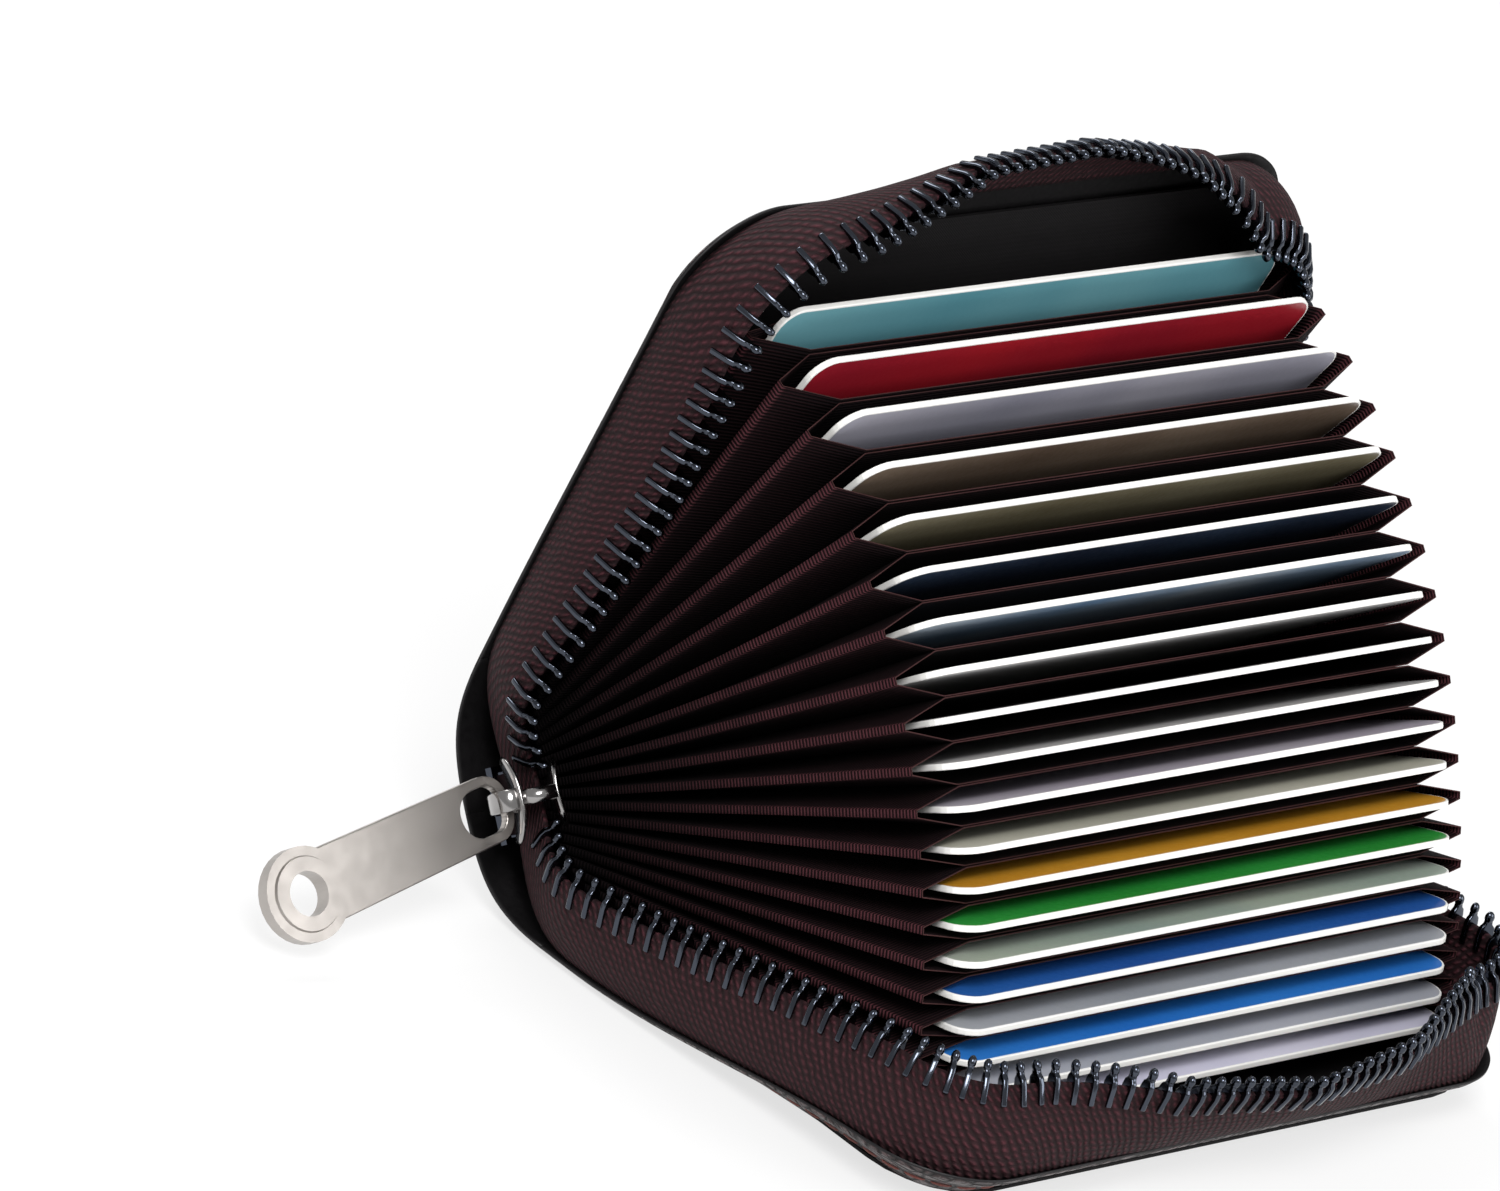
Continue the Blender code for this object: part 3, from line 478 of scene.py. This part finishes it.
def mesh_object(name, points, faces, looks, place=None, uvs=None, smooth=True, slots=None):
    """A mesh piece from points and faces in the frame place; uvs has one pair per point."""
    mesh = bpy.data.meshes.new(name)
    mesh.from_pydata([tuple(p) for p in points], [], [tuple(f) for f in faces])
    for look in looks:
        mesh.materials.append(look)
    if slots is not None:
        mesh.polygons.foreach_set("material_index", slots)
    if uvs is not None:
        layer = mesh.uv_layers.new(name="UVMap")
        flat = np.array(uvs, float)[[loop.vertex_index for loop in mesh.loops]]
        layer.data.foreach_set("uv", flat.ravel())
    mesh.polygons.foreach_set("use_smooth", [smooth] * len(mesh.polygons))
    mesh.update()
    made = bpy.data.objects.new(name, mesh)
    bpy.context.scene.collection.objects.link(made)
    if place is not None:
        made.matrix_world = place
    return made


def grid_faces(rows, columns, start=0, flip=False, cyclic=False):
    """Faces of a grid whose points are numbered row by row from start."""
    faces = []
    for row in range(rows - 1):
        for column in range(columns if cyclic else columns - 1):
            after = (column + 1) % columns
            a = start + row * columns + column
            b = start + row * columns + after
            quad = (a, b, b + columns, a + columns)
            faces.append(quad[::-1] if flip else quad)
    return faces


def smooth_share(value):
    value = np.clip(value, 0, 1)
    return value * value * (3 - 2 * value)


def thicken(made, thickness, offset, rim=None):
    change = made.modifiers.new("thickness", "SOLIDIFY")
    change.thickness = thickness
    change.offset = offset
    change.use_even_offset = True
    if rim is not None:
        change.material_offset_rim = rim


# Covers and spine


def edge_distance(x, y):
    """How far inside the cover's open edges a place is."""
    across = np.abs(x) - (COVER_LENGTH / 2 - SKIN_CORNER)
    along = y - (COVER_DEPTH - SKIN_CORNER)
    corner = np.sqrt(np.maximum(across, 0) ** 2 + np.maximum(along, 0) ** 2)
    beyond = np.where((across > 0) & (along > 0), corner, np.maximum(across, along))
    return SKIN_CORNER - beyond


def rim_lift(side, x, y):
    """How far the leather's open rim is drawn up by the zip, in the cover's frame."""
    near = np.clip(1 - edge_distance(x, y) / RIM_REACH, 0, 1)
    return RIM_CURL[side] * near ** RIM_POWER * smooth_share((y - ZIP_START) / RIM_RAMP)


def drawn(side, x, y):
    """Where a place is along the cover once the zip has drawn the far end in a little."""
    hand = FAR_END[side]
    share = smooth_share(hand * x / FAR_REACH) * smooth_share((y - ZIP_START) / FAR_RAMP)
    return x - hand * FAR_DRAW * share


def outline_top(x):
    over = np.clip(np.abs(x) - (COVER_LENGTH / 2 - SKIN_CORNER), 0, SKIN_CORNER)
    return COVER_DEPTH - SKIN_CORNER + np.sqrt(SKIN_CORNER ** 2 - over ** 2)


def skin_columns():
    """Places along x: even over the middle, closer together round the corners."""
    half = COVER_LENGTH / 2
    count = int(round(COVER_LENGTH / SKIN_STEP / 2))
    turns = np.linspace(-pi / 2, pi / 2, 2 * count + 1)
    return half * (SKIN_EVEN * turns / (pi / 2) + (1 - SKIN_EVEN) * np.sin(turns))


def hem_level(inside):
    """The outer skin's height over the flat it rests on, inside its edge: a padded field in a thin hem."""
    pad = smooth_share((inside - HEM + PAD_SLOPE) / PAD_SLOPE)
    rounded = SKIN_EDGE * (1 - np.sqrt(1 - (1 - np.clip(inside / SKIN_EDGE, 0, 1)) ** 2))
    return HEM_DROP * (1 - pad) + rounded


def cover_skin(side, place):
    """One cover's padded leather with its painted edge and inner face, a closed mesh."""
    columns = skin_columns()
    rows = np.linspace(0, 1, int(COVER_DEPTH / SKIN_STEP))
    x = np.tile(columns, (len(rows), 1))
    top = outline_top(columns)
    y = FOLD_REACH + rows[:, None] * (top[None, :] - FOLD_REACH)
    lift = rim_lift(side, x, y)
    along = drawn(side, x, y)
    outer = np.stack([along, y, hem_level(edge_distance(x, y)) + lift], -1).reshape(-1, 3)
    inner = np.stack([along, y, COVER_SKIN + lift], -1).reshape(-1, 3)
    count = len(outer)
    faces = grid_faces(len(rows), len(columns), 0, True) + grid_faces(len(rows), len(columns), count)
    slots = [0] * (len(faces) // 2) + [1] * (len(faces) // 2)
    ring = rim_ring(len(rows), len(columns))
    for a, b in zip(ring, ring[1:] + ring[:1]):
        faces.append((a, b, b + count, a + count))
        slots.append(2)
    made = mesh_object(side + "_skin", np.concatenate([outer, inner]), faces,
                       [LEATHER, LEATHER_INSIDE, LEATHER_EDGE], place, slots=slots)
    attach(made, side + "_cover")
    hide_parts(side + "_leather")


def rim_ring(rows, columns):
    """Point numbers round a grid's edge."""
    bottom = list(range(columns))
    right = [row * columns + columns - 1 for row in range(1, rows)]
    top = [(rows - 1) * columns + column for column in range(columns - 2, -1, -1)]
    left = [row * columns for row in range(rows - 2, 0, -1)]
    return bottom + right + top + left


def spine_profile():
    """The skin's line from the back cover round the bowed spine to the front cover, in the spine's frame."""
    turn = pi / 2 - OPEN_ANGLE
    first = Vector((-FOLD_REACH * cos(turn), FOLD_REACH * sin(turn)))
    last = Vector((WALLET + FOLD_REACH * cos(turn), FOLD_REACH * sin(turn)))
    middle = Vector((MIDDLE, -SPINE_BOW))
    down, across, rising = Vector((cos(turn), -sin(turn))), Vector((1, 0)), Vector((cos(turn), sin(turn)))
    halves = []
    for a, leave, b, arrive in ((first, down, middle, across), (middle, across, last, rising)):
        line = []
        for step in range(SPINE_STEPS + 1):
            t = step / SPINE_STEPS
            line.append(a * (1 - t) ** 3 + (a + leave * SPINE_PULL) * 3 * t * (1 - t) ** 2
                        + (b - arrive * SPINE_PULL) * 3 * t * t * (1 - t) + b * t ** 3)
        halves.append(line)
    return halves


def spine_skin(name, line):
    """Half of the spine's leather, bending across one fold."""
    columns = skin_columns()
    normals = []
    for index in range(len(line)):
        before, after = line[max(index - 1, 0)], line[min(index + 1, len(line) - 1)]
        along = (after - before).normalized()
        normals.append(Vector((-along.y, along.x)))
    level = hem_level(COVER_LENGTH / 2 - np.abs(columns))
    outer, inner = [], []
    for point, normal in zip(line, normals):
        for x, rise in zip(columns, level):
            outer.append((x, point.x + normal.x * rise, point.y + normal.y * rise))
            inner.append((x, point.x + normal.x * COVER_SKIN, point.y + normal.y * COVER_SKIN))
    count = len(outer)
    faces = grid_faces(len(line), len(columns), 0, True) + grid_faces(len(line), len(columns), count)
    slots = [0] * (len(faces) // 2) + [1] * (len(faces) // 2)
    ring = rim_ring(len(line), len(columns))
    for a, b in zip(ring, ring[1:] + ring[:1]):
        faces.append((a, b, b + count, a + count))
        slots.append(2)
    made = mesh_object(name, outer + inner, faces, [LEATHER, LEATHER_INSIDE, LEATHER_EDGE], SPINE,
                       slots=slots)
    bpy.context.view_layer.update()
    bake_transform(made)
    return made


def stitch_shape():
    """One stitch along x: a short round thread with tapered ends that sink into the leather."""
    points = []
    for along, width in ((-0.5, 0.35), (-0.36, 0.85), (0, 1.0), (0.36, 0.85), (0.5, 0.35)):
        sink = STITCH_RADIUS * (abs(along) * 1.3) ** 2
        for step in range(STITCH_SIDES):
            angle = 2 * pi * step / STITCH_SIDES
            points.append(Vector((along * STITCH_LENGTH, STITCH_RADIUS * width * cos(angle),
                                  STITCH_RADIUS * width * sin(angle) + sink)))
    faces = grid_faces(5, STITCH_SIDES, 0, False, True)
    faces.append(tuple(range(STITCH_SIDES)))
    faces.append(tuple(reversed(range(4 * STITCH_SIDES, 5 * STITCH_SIDES))))
    return points, faces


def build_stitches(side, place):
    """The row of stitches round a cover's open edges, between the turned hem and the padded field."""
    shape, shape_faces = stitch_shape()
    corner = SKIN_CORNER - STITCH_INSET
    straight = COVER_LENGTH / 2 - STITCH_INSET - corner
    total = straight + corner * pi / 2 + COVER_DEPTH - STITCH_INSET - corner - STITCH_START
    count = int(total / STITCH_PITCH)
    points, faces = [], []
    for index in range(-count, count + 1):
        hand = 1 if index >= 0 else -1
        spot, outward = edge_place(abs(index) * STITCH_PITCH, hand, STITCH_INSET, corner)
        level = float(hem_level(edge_distance(spot.x, spot.y)) + rim_lift(side, spot.x, spot.y))
        along = Vector((outward.y, -outward.x, 0))
        turn = Matrix((along, Vector((0, 0, 1)).cross(along), Vector((0, 0, 1)))).transposed()
        base = len(points)
        points += [turn @ p + Vector((drawn(side, spot.x, spot.y), spot.y, level)) for p in shape]
        faces += [[base + i for i in f] for f in shape_faces]
    made = mesh_object(side + "_stitching", points, faces, [THREAD], place)
    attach(made, side + "_cover")


def build_skins():
    for side, place in (("back", BACK), ("front", FRONT)):
        cover_skin(side, place)
        build_stitches(side, place)
    back_line, front_line = spine_profile()
    first = spine_skin("spine_skin_back", back_line)
    second = spine_skin("spine_skin_front", front_line)
    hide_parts("spine_leather")


# Zip


def edge_place(run, side, inset, corner):
    """A place inset from a cover's open edges, by its run from the mouth's middle, and the way outward."""
    straight = COVER_LENGTH / 2 - inset - corner
    quarter = corner * pi / 2
    deep = COVER_DEPTH - inset
    if run <= straight:
        return Vector((side * run, deep)), Vector((0, 1))
    if run <= straight + quarter:
        angle = (run - straight) / corner
        outward = Vector((side * sin(angle), cos(angle)))
        return Vector((side * straight, deep - corner)) + outward * corner, outward
    rest = run - straight - quarter
    return Vector((side * (straight + corner), deep - corner - rest)), Vector((side, 0))


def chain_place(run, side):
    return edge_place(run, side, ZIP_INSET, ZIP_CORNER)


def chain_half_length():
    straight = COVER_LENGTH / 2 - ZIP_INSET - ZIP_CORNER
    return straight + ZIP_CORNER * pi / 2 + COVER_DEPTH - ZIP_INSET - ZIP_CORNER - ZIP_START


HALF_CHAIN = chain_half_length()


def slider_end(place):
    """Where the tape's toothed edge ends in the slider, in a cover's frame."""
    world = SPINE @ Vector((CHAIN_X, MIDDLE, SLIDER_TOP))
    return place.inverted() @ world


def tape_leans(run, slider_side):
    """The loose tape's lean outward at its foot and at its free edge, at one place of the chain."""
    table = np.array(FRONT_LEANS if slider_side < 0 else BACK_LEANS, float)
    towards = -run * slider_side / MM
    foot = np.interp(towards, table[:, 0], table[:, 1])
    edge = np.interp(towards, table[:, 0], table[:, 2])
    return radians(foot), radians(edge)


def tape_column(run, slider_side, target, rows):
    """Points up the tape at one place of the chain; past the straight the tape swings over to the slider."""
    foot, edge = tape_leans(run, slider_side)
    side = 1 if run >= 0 else -1
    cover = "front" if slider_side < 0 else "back"
    place, outward = chain_place(min(abs(run), HALF_CHAIN), side)
    base = place + outward * TAPE_SPREAD
    lift = float(rim_lift(cover, base.x, base.y))
    along = float(drawn(cover, base.x, base.y))
    over = abs(run) - HALF_CHAIN
    bend = edge - foot
    swing = over / SWING_LENGTH if over > 0 and side == slider_side else 0.0
    points = []
    for share in rows:
        lean = foot + bend * share
        out = TAPE_BAND * (cos(foot) - cos(lean)) / bend
        up = TAPE_BAND * (sin(lean) - sin(foot)) / bend
        point = Vector((along + outward.x * out, base.y + outward.y * out, TAPE_FOOT + lift + up))
        points.append(swung(point, swing, share, target) if swing > 0 else point)
    return points


def swung(start, swing, share, target):
    """A point on its way from the end of the straight to the slider; the sewn foot leaves the rim later."""
    turn = pi / 2 - OPEN_ANGLE
    arrival = Vector((0, -cos(turn), sin(turn)))
    inward = Vector((0, sin(turn), cos(turn)))
    goal = target - inward * SWING_TUCK * (1 - share)
    leave = start + Vector((0, -1, 0)) * (SWING_EDGE_REACH + SWING_FOOT_REACH * (1 - share))
    enter = goal - arrival * (SWING_EDGE_REACH + SWING_FOOT_REACH * (1 - share))
    rest = 1 - swing
    return (start * rest ** 3 + leave * 3 * swing * rest ** 2 + enter * 3 * swing ** 2 * rest
            + goal * swing ** 3)


def build_zip(side, place, slider_side):
    """The woven tape and its teeth, from the far end round the mouth and on into the slider."""
    target = slider_end(place)
    low = -HALF_CHAIN if slider_side > 0 else -(HALF_CHAIN + SWING_LENGTH)
    high = HALF_CHAIN + SWING_LENGTH if slider_side > 0 else HALF_CHAIN
    runs = np.linspace(low, high, int((high - low) / TAPE_STEP))
    rows = np.linspace(0, 1, TAPE_ROWS)
    points, uvs = [], []
    for run in runs:
        points += tape_column(run, slider_side, target, rows)
        uvs += [(run, share * TAPE_BAND) for share in rows]
    faces = grid_faces(len(runs), len(rows))
    tape = mesh_object(side + "_tape", points, faces, [TWILL], place, uvs)
    thicken(tape, TAPE, 0.0)
    blend_to_spine(tape)
    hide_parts(side + "_zip_half")
    build_teeth(side, place, slider_side, target, low, high)


def blend_to_spine(made):
    """Moves the piece's frame into its points, so that it stands in world space."""
    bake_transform(made)


def tooth_shape():
    """One clamp: two legs astride the tape, a waist and a rounded head; z up, x along the chain."""
    work = bmesh.new()
    half = TOOTH_HALF_OUTLINE
    left = [(-y, z) for y, z in half]
    legs = left[4::-1] + list(half) + left[:4:-1]
    front = [work.verts.new((TOOTH_HALF, y * MM, z * MM)) for y, z in legs]
    back = [work.verts.new((-TOOTH_HALF, y * MM, z * MM)) for y, z in legs]
    work.faces.new(list(reversed(front)))
    work.faces.new(back)
    count = len(legs)
    for step in range(count):
        after = (step + 1) % count
        work.faces.new((front[step], front[after], back[after], back[step]))
    bmesh.ops.recalc_face_normals(work, faces=work.faces)
    sharp = [edge for edge in work.edges if edge.calc_face_angle(0) > radians(30)]
    bmesh.ops.bevel(work, geom=sharp, offset=TOOTH_BEVEL, segments=2, profile=0.6, affect="EDGES")
    bmesh.ops.triangulate(work, faces=[f for f in work.faces if len(f.verts) > 4])
    head = Matrix.Translation((0, 0, TOOTH_HEAD_RISE)) @ Matrix.Diagonal(TOOTH_HEAD_SHARES)
    bmesh.ops.create_uvsphere(work, u_segments=10, v_segments=7, radius=TOOTH_HEAD, matrix=head)
    work.verts.index_update()
    points = np.array([v.co for v in work.verts])
    # Sorted, because the triangles come in another order on each run
    faces = []
    for face in work.faces:
        ring = [v.index for v in face.verts]
        first = ring.index(min(ring)) if len(ring) == 3 else 0
        faces.append(ring[first:] + ring[:first])
    work.free()
    return points, sorted(faces)


TOOTH = tooth_shape()


def build_teeth(side, place, slider_side, target, low, high):
    """The row of clamps along the tape's free edge, as one piece."""
    shape, shape_faces = TOOTH
    begin = low + (TEETH_STOP if slider_side < 0 else TOOTH_PITCH)
    count = int((high - low - TEETH_STOP - TOOTH_PITCH) / TOOTH_PITCH)
    points, faces = [], []
    for index in range(count + 1):
        run = begin + index * TOOTH_PITCH
        top = tape_column(run, slider_side, target, (0.8, 1.0))
        ahead = tape_column(min(run + TOOTH_LOOK_AHEAD, high), slider_side, target, (1.0,))[0]
        behind = tape_column(max(run - TOOTH_LOOK_AHEAD, low), slider_side, target, (1.0,))[0]
        along = (ahead - behind).normalized()
        up = (top[1] - top[0]).normalized()
        out = up.cross(along).normalized()
        up = along.cross(out).normalized()
        turn = Matrix((along, out, up)).transposed()
        origin = top[1] - up * TOOTH_SINK
        base = len(points)
        points += [turn @ Vector(p) + origin for p in shape]
        faces += [[base + i for i in f] for f in shape_faces]
    teeth = mesh_object(side + "_teeth", points, faces, [GUNMETAL], place)
    blend_to_spine(teeth)


# Slider


def squared_circle(angle):
    """A place on a unit circle that is pressed out towards a square."""
    power = 2 / PLATE_SQUARENESS
    x = abs(cos(angle)) ** power * (1 if cos(angle) >= 0 else -1)
    y = abs(sin(angle)) ** power * (1 if sin(angle) >= 0 else -1)
    return x, y


def slab(width, height, thickness, dome):
    """A rounded plate: x across, y up, z through; its ends in x bend away from +z by dome."""
    rings = PLATE_HALF + tuple((share, -level) for share, level in PLATE_HALF[-2::-1])
    points = []
    for scale, level in rings:
        for step in range(PLATE_SIDES):
            across, up = squared_circle(2 * pi * step / PLATE_SIDES)
            x, y = width * scale * across, height * scale * up
            points.append(Vector((x, y, level * thickness - dome * (x / width) ** 2)))
    faces = grid_faces(len(rings), PLATE_SIDES, 0, False, True)
    faces.append(tuple(reversed(range(PLATE_SIDES))))
    faces.append(tuple(range(len(points) - PLATE_SIDES, len(points))))
    return points, faces


def bar(path, half_width, half_thickness):
    """A strip with rounded edges swept along a path in y and z, with x across."""
    section = ((-1, -0.5), (-0.82, -1), (0.82, -1), (1, -0.5), (1, 0.5), (0.82, 1), (-0.82, 1), (-1, 0.5))
    points = []
    for index, (y, z) in enumerate(path):
        before, after = path[max(index - 1, 0)], path[min(index + 1, len(path) - 1)]
        along = Vector((after[0] - before[0], after[1] - before[1])).normalized()
        for across, out in section:
            points.append(Vector((across * half_width, y - along.y * out * half_thickness,
                                  z + along.x * out * half_thickness)))
    sides = len(section)
    faces = grid_faces(len(path), sides, 0, False, True)
    faces.append(tuple(reversed(range(sides))))
    faces.append(tuple(range(len(points) - sides, len(points))))
    return points, faces


def build_slider():
    """Two domed plates, the post between them and the bridge that holds the pull tab, tilted by the pull."""
    wide, high = SLIDER_BACK_SHARES
    behind = SLIDER_SET + SLIDER_GAP
    outer = slab(SLIDER_WIDE, SLIDER_HIGH, SLIDER_PLATE, SLIDER_DOME)
    inner = slab(SLIDER_WIDE * wide, SLIDER_HIGH * high, SLIDER_PLATE, SLIDER_BACK_DOME)
    post = bar([(POST_PLACE, SLIDER_SET), (POST_PLACE, behind)], POST_HALF_WIDTH, POST_HALF_DEPTH)
    turns = [pi * step / BRIDGE_STEPS for step in range(BRIDGE_STEPS + 1)]
    arch = [(-BRIDGE_FOOT, SLIDER_SET)]
    arch += [(-BRIDGE_REACH * cos(t), BRIDGE_START - BRIDGE_RISE * sin(t)) for t in turns]
    arch += [(BRIDGE_FOOT, SLIDER_SET)]
    bridge = bar(arch, BRIDGE_HALF_WIDTH, BRIDGE_HALF_DEPTH)
    points, faces = [], []
    for (shape, shape_faces), depth in ((outer, SLIDER_SET), (inner, behind), (post, 0.0), (bridge, 0.0)):
        base = len(points)
        points += [p + Vector((0, 0, depth)) for p in shape]
        faces += [[base + i for i in f] for f in shape_faces]
    across, up = Vector((0, 1, 0)), Vector((-sin(SLIDER_TILT), 0, cos(SLIDER_TILT)))
    turn = Matrix((across, up, across.cross(up))).transposed().to_4x4()
    made = mesh_object("slider_body", points, faces, [SLIDER_METAL],
                       SPINE @ Matrix.Translation((PULL_X, MIDDLE, SLIDER_MIDDLE)) @ turn)
    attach(made, "slider")
    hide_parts("zip_slider")


# Pockets and cards


def wall_line(angle, neighbour):
    """A pocket wall's place at the spine and its lean, half way towards the neighbour's angle."""
    if neighbour is None:
        return FAN_PITCH / 2 * cos(angle), POCKET_OUTER_WALL
    lean = abs(neighbour - angle) / 2
    side = 1 if neighbour > angle else -1
    half = FAN_PITCH / 2
    return half * cos(angle) - side * half * sin(angle) * tan(lean) - PLY_GAP / 2 / cos(lean), lean


def pocket_section(top, bottom, tip_half):
    """The pocket's loop at one height, from the left tip over and back under, and distances from a fold."""
    flat, tip = POCKET_FLAT / 2, POCKET_LENGTH / 2
    gusset, wall = np.linspace(0, 1, 6), np.linspace(0, 1, 9)[1:-1]
    ends = [(tip - (tip - flat) * share, tip_half + (top - tip_half) * share) for share in gusset]
    under_ends = [(x, -tip_half - (bottom - tip_half) * share) for share, (x, _) in zip(gusset, ends)]
    points = [(-x, y) for x, y in ends] + [(-flat + 2 * flat * share, top) for share in wall] + ends[::-1]
    points += under_ends + [(flat - 2 * flat * share, -bottom) for share in wall]
    points += [(-x, y) for x, y in under_ends[::-1]]
    return points, [max(0.0, tip - abs(x)) for x, _ in points]


def build_pocket(index):
    """A sewn pocket with pleated ends, in fabric as thick as its ply."""
    upper = wall_line(ANGLES[index], ANGLES[index - 1] if index > 0 else None)
    lower = wall_line(ANGLES[index], ANGLES[index + 1] if index + 1 < CARD_COUNT else None)
    heights = np.concatenate([[POCKET_FOOT], np.linspace(POCKET_FIRST_ROW, POCKET_HEIGHT, POCKET_ROWS)])
    points, uvs = [], []
    for height in heights:
        top = upper[0] + height * tan(upper[1])
        bottom = lower[0] + height * tan(lower[1])
        tip_half = min(POCKET_END / 2, top - PLY_GAP, bottom - PLY_GAP)
        section, folds = pocket_section(top, bottom, tip_half)
        points += [(x, y, height) for x, y in section]
        uvs += [(fold, height) for fold in folds]
    columns = len(section)
    faces = grid_faces(len(heights), columns, 0, True, True)
    faces.append(tuple(range(columns)))
    name = "pocket_{:02d}".format(index + 1)
    place = pocket_frame(index)
    made = mesh_object(name + "_cloth", points, faces, [POCKET, POCKET_RIM], place, uvs)
    thicken(made, PLY, -1.0, rim=1)
    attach(made, "fan_{:02d}".format(index + 1))
    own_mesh(made)
    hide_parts(name)


def rounded_card(inset, steps=6):
    """A card's outline drawn in by inset, counterclockwise, in x and z of its pocket's frame."""
    half = CARD_LENGTH / 2 - inset
    low, high = CARD_FOOT + inset, CARD_FOOT + CARD_WIDTH - inset
    radius = CARD_CORNER - inset
    points = []
    corners = ((half - radius, low + radius, -pi / 2), (half - radius, high - radius, 0),
               (radius - half, high - radius, pi / 2), (radius - half, low + radius, pi))
    for centre_x, centre_z, begin in corners:
        for step in range(steps + 1):
            angle = begin + pi / 2 * step / steps
            points.append((centre_x + radius * cos(angle), centre_z + radius * sin(angle)))
    return points


def build_card(index):
    """A laminated card: white core and border, coloured faces, softly rounded edges."""
    half = CARD_THICKNESS / 2
    rings = []
    for side in (-1, 1):
        order = ((CARD_BORDER, half), (CARD_BEVEL, half), (0.3 * CARD_BEVEL, half - 0.3 * CARD_BEVEL),
                 (0, half - CARD_BEVEL))
        part = [[(x, side * level, z) for x, z in rounded_card(inset)] for inset, level in order]
        rings += part if side < 0 else part[::-1]
    count = len(rings[0])
    points = [p for ring in rings for p in ring]
    faces = grid_faces(len(rings), count, 0, False, True)
    slots = [0] * len(faces)
    faces.append(tuple(range(count)))
    faces.append(tuple(reversed(range(len(points) - count, len(points)))))
    slots += [1, 1]
    name = "card_{:02d}".format(index + 1)
    face = card_face_look(name + "_face", *CARD_TINTS[index])
    made = mesh_object(name + "_print", points, faces, [CARD_WHITE, face], pocket_frame(index), slots=slots,
                       smooth=False)
    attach(made, "sheet_{:02d}".format(index + 1))
    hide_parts(name)


# What stays as the CAD has it


def dress_nodes():
    looks = {"lining": LINING, "board": LEATHER_INSIDE, "stop": GUNMETAL, "slider": GUNMETAL, "tab": NICKEL,
             "tail": TWILL}
    for name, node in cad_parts.items():
        for part, look in looks.items():
            if part in name:
                node.data.materials.clear()
                node.data.materials.append(look)
    for name in ("zip_slider", "pull_tab"):
        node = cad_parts[name]
        for polygon in node.data.polygons:
            polygon.use_smooth = False


# Stage


def white_for_camera(made, shader, strength):
    """Adds white to what the camera and reflections see, over the lit surface."""
    paths = made.add("ShaderNodeLightPath")
    seen = made.math("MAXIMUM", paths.outputs["Is Camera Ray"], paths.outputs["Is Glossy Ray"])
    seen = made.math("MAXIMUM", seen, paths.outputs["Is Transmission Ray"])
    glow = made.add("ShaderNodeEmission")
    glow.inputs["Color"].default_value = (1, 1, 1, 1)
    glow.inputs["Strength"].default_value = 1.0
    mixer = made.add("ShaderNodeMixShader")
    made.join(made.math("MULTIPLY", seen, strength), mixer.inputs[0])
    made.join(shader, mixer.inputs[1])
    made.join(glow.outputs[0], mixer.inputs[2])
    return mixer.outputs[0]


def build_floor():
    corners = [(x * FLOOR_HALF, y * FLOOR_HALF, 0) for x, y in ((-1, -1), (1, -1), (1, 1), (-1, 1))]
    floor = mesh_object("floor", corners, [(0, 1, 2, 3)], [])
    made = Nodes("floor_white")
    made.shader.inputs["Base Color"].default_value = (0.86, 0.86, 0.86, 1)
    made.shader.inputs["Roughness"].default_value = 0.9
    output = made.tree.nodes["Material Output"]
    made.join(white_for_camera(made, made.shader.outputs[0], FLOOR_WHITE), output.inputs["Surface"])
    floor.data.materials.append(made.material)


def build_world():
    world = bpy.data.worlds.new("studio")
    bpy.context.scene.world = world
    world.use_nodes = True
    tree = world.node_tree
    background = tree.nodes["Background"]
    paths = tree.nodes.new("ShaderNodeLightPath")
    seen = tree.nodes.new("ShaderNodeMath")
    seen.operation = "MAXIMUM"
    tree.links.new(paths.outputs["Is Camera Ray"], seen.inputs[0])
    tree.links.new(paths.outputs["Is Transmission Ray"], seen.inputs[1])
    strength = tree.nodes.new("ShaderNodeMapRange")
    strength.inputs["To Min"].default_value = WORLD_GLOW
    strength.inputs["To Max"].default_value = 1.0
    tree.links.new(seen.outputs[0], strength.inputs["Value"])
    tree.links.new(strength.outputs["Result"], background.inputs["Strength"])
    background.inputs["Color"].default_value = (1, 1, 1, 1)


def add_lamp(name, place, size, power):
    data = bpy.data.lights.new(name, "AREA")
    data.shape = "SQUARE"
    data.size = size
    data.energy = power
    lamp = bpy.data.objects.new(name, data)
    bpy.context.scene.collection.objects.link(lamp)
    lamp.location = place
    lamp.rotation_mode = "QUATERNION"
    lamp.rotation_quaternion = (Vector(LAMP_AIM) - Vector(place)).to_track_quat("-Z", "Y")


def build_camera():
    data = bpy.data.cameras.new("camera")
    data.lens = CAMERA_LENS
    data.sensor_width = 36
    data.clip_start = 0.01
    data.clip_end = 50
    camera = bpy.data.objects.new("camera", data)
    bpy.context.scene.collection.objects.link(camera)
    right = Vector(CAMERA_RIGHT).normalized()
    up = Vector(CAMERA_UP)
    up = (up - right * up.dot(right)).normalized()
    back = right.cross(up)
    turn = Matrix((right, up, back)).transposed().to_4x4()
    camera.matrix_world = Matrix.Translation(CAMERA_PLACE) @ turn
    bpy.context.scene.camera = camera


build_skins()
build_zip("back", BACK, 1)
build_zip("front", FRONT, -1)
build_slider()
for number in range(CARD_COUNT):
    build_pocket(number)
    build_card(number)
dress_nodes()
build_floor()
build_world()
for lamp_values in LAMPS:
    add_lamp(*lamp_values)
build_camera()
bpy.context.scene.view_settings.view_transform = "Standard"
